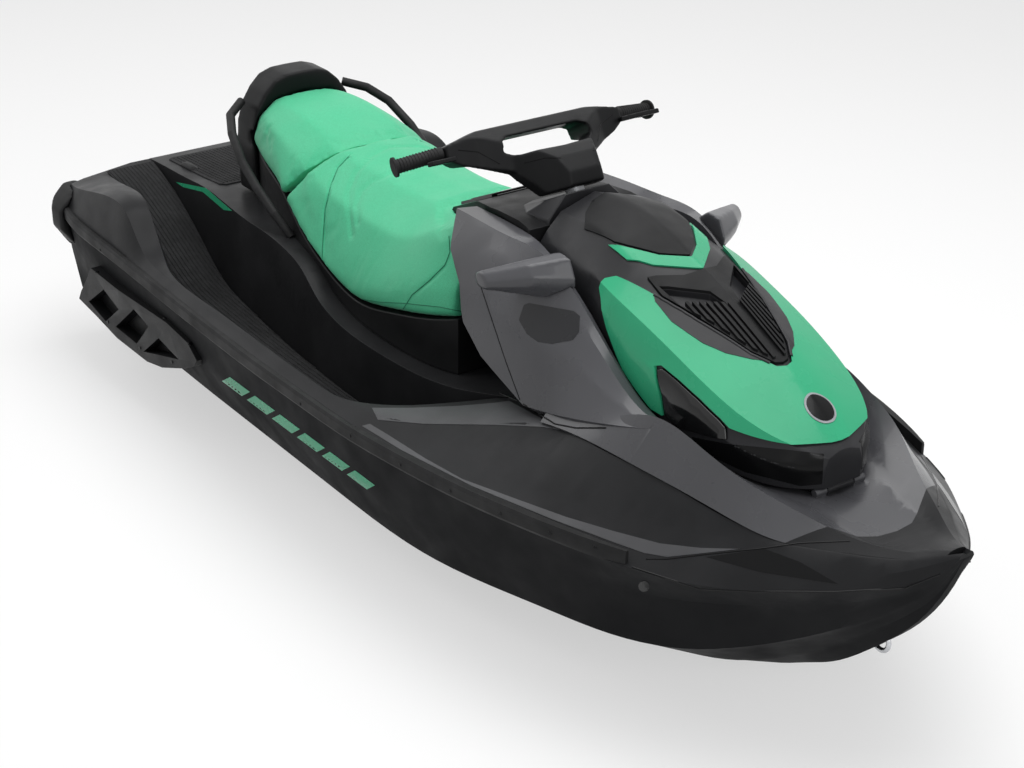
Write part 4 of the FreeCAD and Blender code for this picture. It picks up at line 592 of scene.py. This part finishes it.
def remeshed(node, grid, passes):
    """The CAD node as an even voxel mesh, smoothed until its edges are round."""
    form = merged_copy(node)
    bmesh.ops.recalc_face_normals(form, faces=form.faces)
    block = bpy.data.objects.new(node + "_form", as_mesh(form, node + "_form"))
    scene.collection.objects.link(block)
    remesh = block.modifiers.new("remesh", "REMESH")
    remesh.mode = "VOXEL"
    remesh.voxel_size = grid
    mesh = evaluated(block)
    bpy.data.objects.remove(block)
    form = bmesh.new()
    form.from_mesh(mesh)
    for turn in range(passes):
        bmesh.ops.smooth_vert(form, verts=form.verts, factor=0.5, use_axis_x=True, use_axis_y=True, use_axis_z=True)
    return form, mesh


round_angle = 70
for node, grid, passes in (("handlebar", 0.0042, 5), ("mirror_left", 0.004, 8), ("mirror_right", 0.004, 8),
                           ("seat_back", 0.006, 6), ("stern_bumpers", 0.006, 5), ("throttle_lever", 0.002, 3),
                           ("brake_lever", 0.002, 3)):
    form, mesh = remeshed(node, grid, passes)
    smooth_by_angle(form, round_angle)
    form.to_mesh(mesh)
    trees[(node + "_rounded",)] = BVHTree.FromBMesh(form)
    form.free()
    shape = piece(node + "_rounded", mesh, slot_of[node], body_of[node])
    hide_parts(node)

# ---------------------------------------------------------------- seats
cushion_grid = 0.0092
swell = 0.007
shrink = 0.45
last_frame = 20


def cushion(node, seams):
    """A padded seat: remeshed, blown up by cloth pressure, then pulled in along its seams."""
    form, mesh = remeshed(node, cushion_grid, 5)
    form.normal_update()
    for v in form.verts:
        v.co -= v.normal * swell * shrink
    form.to_mesh(mesh)
    form.free()
    pad = bpy.data.objects.new(node + "_pad", mesh)
    scene.collection.objects.link(pad)
    rest = [v.co.copy() for v in mesh.vertices]
    cloth = pad.modifiers.new("padding", "CLOTH")
    cloth.settings.use_pressure = True
    cloth.settings.uniform_pressure_force = 4
    cloth.settings.effector_weights.gravity = 0
    for frame_number in range(1, last_frame + 1):
        scene.frame_set(frame_number)
    graph = bpy.context.evaluated_depsgraph_get()
    puffed = [v.co.copy() for v in pad.evaluated_get(graph).data.vertices]
    scene.frame_set(1)
    pad.modifiers.clear()
    for v, start, end in zip(mesh.vertices, rest, puffed):
        move = end - start
        v.co = start + move * min(1, swell / max(move.length, 1e-9))
    finer = pad.modifiers.new("finer", "SUBSURF")
    finer.levels = finer.render_levels = 1
    mesh = evaluated(pad)
    bpy.data.objects.remove(pad)
    form = bmesh.new()
    form.from_mesh(mesh)
    form.normal_update()
    for path, depth, reach in seams:
        tree = KDTree(len(path))
        for i, p in enumerate(path):
            tree.insert(p, i)
        tree.balance()
        for v in form.verts:
            far = tree.find(v.co)[2]
            if far < reach * 3:
                v.co -= v.normal * depth * math.exp(-(far / reach) ** 2)
    smooth_by_angle(form, round_angle)
    form.to_mesh(mesh)
    form.free()
    shape = piece(node + "_cushion", mesh, "seat_cover", body_of[node])
    trees[(node + "_cushion",)] = BVHTree.FromPolygons([v.co for v in mesh.vertices],
                                                       [face.vertices for face in mesh.polygons])
    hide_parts(node)


def seam(node, outline, depth, reach):
    return [(path, depth, reach) for path in with_port([traced([node], outline, "eye", 3.0)])]


main_seam = [(322, 262), (323, 240), (325, 210), (331, 185), (338, 168), (350, 155)]
corner_seam = [(449, 236), (450, 252), (445, 265), (430, 280), (412, 295), (402, 311)]
hem = [(352, 295), (362, 299), (380, 302), (402, 303), (440, 307), (464, 312)]
outer_fold = [(352, 235), (349, 212), (350, 190), (357, 172), (370, 158), (386, 149)]
inner_fold = [(358, 222), (357, 206), (362, 192), (374, 181), (390, 175), (410, 172)]
rear_seam = [(296, 196), (310, 186), (322, 172), (334, 156), (350, 147)]
cushion("seat_front", seam("seat_front", main_seam, 0.005, 0.006) + seam("seat_front", corner_seam, 0.005, 0.006)
        + seam("seat_front", hem, 0.003, 0.006) + seam("seat_front", outer_fold, 0.004, 0.011)
        + seam("seat_front", inner_fold, 0.003, 0.012))
cushion("seat_rear", seam("seat_rear", rear_seam, 0.002, 0.006))
for name, outline in (("front_main_seam", main_seam), ("front_corner_seam", corner_seam), ("front_hem", hem)):
    path = traced(["seat_front_cushion"], outline, "eye", 2.5, 0.0002)
    lines(name, with_port([path]), 0.0013, "seam_thread")

# ---------------------------------------------------------------- deck
# Painted highlight: a lighter band of deck satin where the upward-facing gunwale facet catches the light.
skin("gunwale_painted_highlight", [(362, 426), (401, 450), (471.6, 486), (554, 520), (613, 542), (644, 553), (667, 557),
                      (700, 553.5), (740, 549), (700, 548), (660, 543.5), (613, 531), (566, 517), (518.8, 500),
                      (462, 479), (424.4, 458), (389, 435.5), (370, 424)], ["deck"], "deck_painted_highlight")
# Painted highlight: a lighter patch of deck satin where a deck facet catches the light.
skin("deck_wedge_painted_highlight", [(372, 408), (412.6, 408), (460, 406), (495, 403), (509, 401), (524, 409), (553, 425),
                    (560, 430), (542, 427), (495, 425), (424, 424), (378, 420)], ["deck"], "deck_painted_highlight")
groove("nose_seam", ["deck", "bow_deck", "bow_tip", "hull"],
       [(646, 559), (667, 559), (700, 555), (765, 548), (800, 543), (850, 541)], 4, 0.0016)
groove("panel_foot_seam", ["deck", "side_panel_right", "bow_deck"],
       [(500, 393), (520, 402), (555, 424), (576, 428), (606, 428)], 4, 0.0020)
groove("panel_step", ["side_panel_right"], [(480, 284), (492, 320), (506, 362), (520, 400)], 4, 0.0014)
# Painted shade: a darker patch on the side panel standing for the darker reflection in its recess under the mirror.
skin("panel_recess_painted_shade", [(524, 305), (529, 303), (574, 311), (580, 316), (579, 332), (573, 340), (552, 344), (538, 342),
                      (527, 334), (519, 320)], ["side_panel_right"], "panel_painted_shade")
dash_count = 6
for i in range(dash_count):
    low = [(222 + 150 * t, 381 + 112 * t) for t in (i / dash_count, (i + 0.80) / dash_count)]
    high = [(x + 8, y - 4) for x, y in low]
    skin("side_dash_%d" % (i + 1), [low[0], low[1], high[1], high[0]], ["hull"], "bright", 2.2, up=0.0006)
skin("pedestal_stripe", [(176, 182), (206, 188), (232, 211), (224, 210), (203, 192), (183, 187)],
     ["deck", "seat_base", "foot_mats"], "bright", 3, up=0.0006)
groove("lower_seam", ["deck", "hull", "bow_tip"],
       [(632, 567), (700, 589), (760, 591.5), (835, 592), (905, 588), (940, 574)], 5, 0.0022)
skin("nose_wedge", [(706, 557), (765, 549), (800, 562), (838, 584), (760, 572)], ["deck", "bow_tip", "hull"],
     "gloss_black", up=0.0006)
plug_sides = 16
plug_radius = 5.5
skin("drain_plug", [(644 + plug_radius * math.cos(2 * math.pi * i / plug_sides),
                     586 + plug_radius * math.sin(2 * math.pi * i / plug_sides)) for i in range(plug_sides)],
     ["hull"], "gloss_black", 3, up=0.0010)


# ---------------------------------------------------------------- front lid
def across_middle(half):
    """A plan outline given for the starboard half, from the middle line round to the middle line."""
    return half + [(x, -y) for x, y in reversed(half) if abs(y) > 0.0005]


def lid_skin(name, outline, carrier, finish, step, up, down, **form):
    return skin(name, outline, [carrier], finish, step, "down", up, down, "front_lid", False, **form)[0]


chevron = lid_skin("lid_chevron", across_middle([(0.787, 0), (0.709, -0.085), (0.656, -0.118), (0.588, -0.121),
                                                 (0.631, -0.099), (0.694, -0.056), (0.744, 0)]),
                   "hood_shell", "bright", 0.008, 0.0045, 0.002, edge=0.0015)
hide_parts("hood_chevron")
lid_skin("lid_pod", across_middle([(0.738, 0), (0.691, -0.052), (0.626, -0.094), (0.598, -0.110), (0.500, -0.124),
                                   (0.452, -0.085), (0.418, -0.040), (0.412, 0)]),
         "hood_shell", "black_plastic", 0.010, 0.0045, 0.001, crown=0.004, edge=0.002)
lid_skin("lid_insert", across_middle([(1.082, 0), (1.039, -0.063), (0.993, -0.100), (0.944, -0.124),
                                      (0.900, -0.135), (0.855, -0.144), (0.790, -0.140), (0.752, -0.122),
                                      (0.752, 0)]), "hood_panel", "lid_satin", 0.003, 0.0012, 0.0008)
opening_edge = []
for i in range(24):
    x = 0.775 + i * 0.0126
    reference = landing(["hood_panel"], x, -0.150, "down")
    for j in range(140):
        found = landing(["hood_panel"], x, -j * 0.001, "down")
        if found and reference and found[0].z > reference[0].z - 0.004 and found[1].z > 0.7:
            opening_edge.append(found[0])
            break
lines("louvre_frame", with_port([opening_edge]), 0.0040, "lid_satin", "front_lid", 8)
skin("lid_lip", [(692, 437), (728, 444), (790, 450), (824, 454), (822, 484), (800, 486),
                 (745, 472), (702, 452)], ["hood_shell"], "gloss_black", up=0.0007, body="front_lid")
badge_x = 1.2
badge_radius = 0.036
round_badge = [(badge_x + badge_radius * math.cos(i * math.pi / 18), badge_radius * math.sin(i * math.pi / 18))
               for i in range(36)]
lid_skin("lid_disc_rim", round_badge, "hood_panel", "pale_line", 0.006, 0.0018, 0.001)
lid_skin("lid_disc", [(badge_x + (x - badge_x) * 0.86, y * 0.86) for x, y in round_badge], "hood_panel",
         "gloss_black", 0.006, 0.0026, 0.001, crown=0.0008)

# ---------------------------------------------------------------- steering shroud
lean = math.radians(28)
pivot = Vector((0.315, 0, 0.930))
post = Vector((-math.sin(lean), 0, math.cos(lean)))
ahead = Vector((math.cos(lean), 0, math.sin(lean)))


def leaned(rise, forward, side):
    """A point of the leaned frame in which the handlebar turns."""
    return pivot + post * rise + ahead * forward + Vector((0, side, 0))


def whole_ring(half):
    return half + [to_port(p) for p in reversed(half)]


shroud = lofted("steering_shroud", [whole_ring(half) for half in (
    [Vector(p) for p in ((0.190, -0.060, 0.895), (0.205, -0.105, 0.895), (0.262, -0.136, 0.895),
                         (0.352, -0.132, 0.895), (0.358, -0.060, 0.895))],
    [Vector(p) for p in ((0.200, -0.060, 0.928), (0.214, -0.098, 0.928), (0.266, -0.128, 0.930),
                         (0.352, -0.122, 0.936), (0.358, -0.058, 0.940))],
    [leaned(0.040, forward, side) for forward, side in ((-0.058, -0.052), (-0.046, -0.078), (0.004, -0.088),
                                                        (0.054, -0.066), (0.060, -0.040))])], "lid_satin", 0.003)
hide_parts("steering_neck")
low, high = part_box("glovebox_lid")
skin("gauge_glass", [(low[0] + 0.018, -0.078), (high[0] - 0.016, -0.066), (high[0] - 0.016, 0.066),
                     (low[0] + 0.018, 0.078)], ["glovebox_lid"], "lens", 0.006, "down", 0.0016, 0.0006, "glovebox",
     False, crown=0.0010, edge=0.0008)


# ---------------------------------------------------------------- grips, mats, rail
def rings_on(node, count):
    """Raised rings round a grip."""
    spots = [v.co for v in nodes[node].data.vertices]
    inner = min(abs(p.y) for p in spots)
    outer = max(abs(p.y) for p in spots)
    near = [p for p in spots if abs(p.y) < inner + 0.012]
    far = [p for p in spots if abs(p.y) > outer - 0.030]
    start = sum(near, Vector()) / len(near)
    end = sum(far, Vector()) / len(far)
    way = (end - start).normalized()
    first = way.cross(Vector((0, 0, 1))).normalized()
    second = way.cross(first)
    radius = sorted((p - start - way * (p - start).dot(way)).length for p in spots)[len(spots) // 3]
    paths = []
    for i in range(count):
        middle = start.lerp(end, (i + 1.5) / (count + 2))
        paths.append([middle + (first * math.cos(a * math.pi / 12) + second * math.sin(a * math.pi / 12)) * radius
                      for a in range(25)])
    lines(node + "_rings", paths, 0.0016, "rubber", body_of[node])


rings_on("grip_left", 13)
rings_on("grip_right", 13)

ribs = []
low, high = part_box("foot_mats")
side = low[1] + 0.008
while side < high[1]:
    run = []
    x = low[0] + 0.004
    while x < high[0]:
        found = landing(["foot_mats"], x, side, "down")
        if found and found[1].z > 0.8 and (not run or abs(run[-1].z - found[0].z) < 0.012):
            run.append(found[0] + Vector((0, 0, 0.0006)))
        else:
            ribs.append(run)
            run = []
        x += 0.022
    ribs.append(run)
    side += 0.0125
lines("mat_ribs", [run for run in ribs if len(run) > 2], 0.0019, "mat")

stern_mat = [(-1.572, -0.190), (-1.560, -0.205), (-1.225, -0.205), (-1.205, -0.190)]
skin("stern_mat", stern_mat + [(x, -y) for x, y in reversed(stern_mat)], ["deck"], "mat", 0.012, "down", 0.0035,
     0.001, twin=False, edge=0.0012)
rib_lines = [-0.190 + 0.0127 * i for i in range(31)]
lines("stern_mat_ribs", [traced(["deck"], [(-1.556, y), (-1.221, y)], "down", 0.03, 0.0040) for y in rib_lines],
      0.0021, "mat")
foot = landing(["deck"], 190, 168, "eye")[0]
for name, side in (("deck_cleat_right", -1), ("deck_cleat_left", 1)):
    place = Vector((foot.x, side * abs(foot.y), foot.z))
    rings = [[place + Vector((x * long, y * wide, rise)) for x, y in ((-1, -0.6), (-0.7, -1), (0.7, -1), (1, -0.6),
                                                                     (1, 0.6), (0.7, 1), (-0.7, 1), (-1, 0.6))]
             for long, wide, rise in ((0.044, 0.015, -0.003), (0.042, 0.014, 0.006), (0.030, 0.009, 0.012))]
    lofted(name, rings, "black_plastic", 0.0025)
lines("bar_seams", with_port([traced(["handlebar_rounded"], outline, "eye", 3) for outline in (
    [(524, 163), (545, 158), (561, 158)], [(458, 150), (478, 152), (500, 164)])]), 0.0012, "gloss_black", "handlebar")
heads("sponson_bolts", "sponson_right", [(97, 272), (132, 290), (165, 318), (190, 344), (108, 322), (140, 348),
                                         (172, 362)], 0.0065, 0.0026, "gloss_black")
heads("rail_screws", "bumper_rail", [(100, 250), (150, 294), (200, 335), (250, 372), (300, 404), (350, 436),
                                     (400, 465), (450, 491), (500, 514), (550, 533), (595, 547)],
      0.0050, 0.0018, "black_plastic")


# ---------------------------------------------------------------- floor, lamps, background
def seen_rays(tree):
    """Is the ray one that shows the background: straight, mirrored or through glass."""
    path = tree.nodes.new("ShaderNodeLightPath")
    first = tree.nodes.new("ShaderNodeMath")
    second = tree.nodes.new("ShaderNodeMath")
    first.operation = second.operation = "MAXIMUM"
    tree.links.new(path.outputs["Is Camera Ray"], first.inputs[0])
    tree.links.new(path.outputs["Is Glossy Ray"], first.inputs[1])
    tree.links.new(first.outputs["Value"], second.inputs[0])
    tree.links.new(path.outputs["Is Transmission Ray"], second.inputs[1])
    return second.outputs["Value"]


paper = bpy.data.materials.new("studio_paper")
paper.use_nodes = True
paper_nodes = paper.node_tree.nodes
join = paper.node_tree.links.new
lit_paper = paper_nodes["Principled BSDF"]
seen_paper = paper_nodes.new("ShaderNodeBsdfPrincipled")
for shader, tone in ((lit_paper, 0.58), (seen_paper, 0.97)):
    shader.inputs["Base Color"].default_value = (tone, tone, tone, 1)
    shader.inputs["Roughness"].default_value = 0.9
    shader.inputs["Specular IOR Level"].default_value = 0.1
glow = paper_nodes.new("ShaderNodeEmission")
glow.inputs["Color"].default_value = (1, 1, 1, 1)
glow.inputs["Strength"].default_value = 1.0
lifted = paper_nodes.new("ShaderNodeMixShader")
lifted.inputs["Fac"].default_value = 0.55
join(seen_paper.outputs["BSDF"], lifted.inputs[1])
join(glow.outputs["Emission"], lifted.inputs[2])
blend = paper_nodes.new("ShaderNodeMixShader")
join(seen_rays(paper.node_tree), blend.inputs["Fac"])
join(lit_paper.outputs["BSDF"], blend.inputs[1])
join(lifted.outputs["Shader"], blend.inputs[2])
join(blend.outputs["Shader"], paper_nodes["Material Output"].inputs["Surface"])
half_floor = 70
floor_mesh = bpy.data.meshes.new("floor")
floor_mesh.from_pydata([(x * half_floor, y * half_floor, 0) for x, y in ((-1, -1), (1, -1), (1, 1), (-1, 1))],
                       [], [(0, 1, 2, 3)])
floor_mesh.materials.append(paper)
floor = bpy.data.objects.new("floor", floor_mesh)
scene.collection.objects.link(floor)


def softbox(name, place, target, size, power):
    lamp = bpy.data.lights.new(name, "AREA")
    lamp.shape = "RECTANGLE"
    lamp.size, lamp.size_y = size
    lamp.energy = power
    stand = bpy.data.objects.new(name, lamp)
    scene.collection.objects.link(stand)
    way = Vector(place) - Vector(target)
    stand.matrix_world = Matrix.Translation(place) @ way.to_track_quat("Z", "Y").to_matrix().to_4x4()


softbox("overhead", (0.2, 0.6, 4.8), (0, 0, 0.3), (5.2, 3.6), 190)
softbox("key", (-4.4, -2.6, 4.4), (-0.2, 0, 0.4), (4.4, 3.4), 75)
softbox("fill", (5.2, -1.6, 2.6), (0.3, 0, 0.4), (3.4, 2.4), 60)
world = bpy.data.worlds.new("studio")
world.use_nodes = True
scene.world = world
air = world.node_tree.nodes["Background"]
air.inputs["Color"].default_value = (1, 1, 1, 1)
strength = world.node_tree.nodes.new("ShaderNodeMapRange")
strength.inputs["To Min"].default_value = 0.36
strength.inputs["To Max"].default_value = 1.0
world.node_tree.links.new(seen_rays(world.node_tree), strength.inputs["Value"])
world.node_tree.links.new(strength.outputs["Result"], air.inputs["Strength"])
scene.view_settings.view_transform = "Standard"
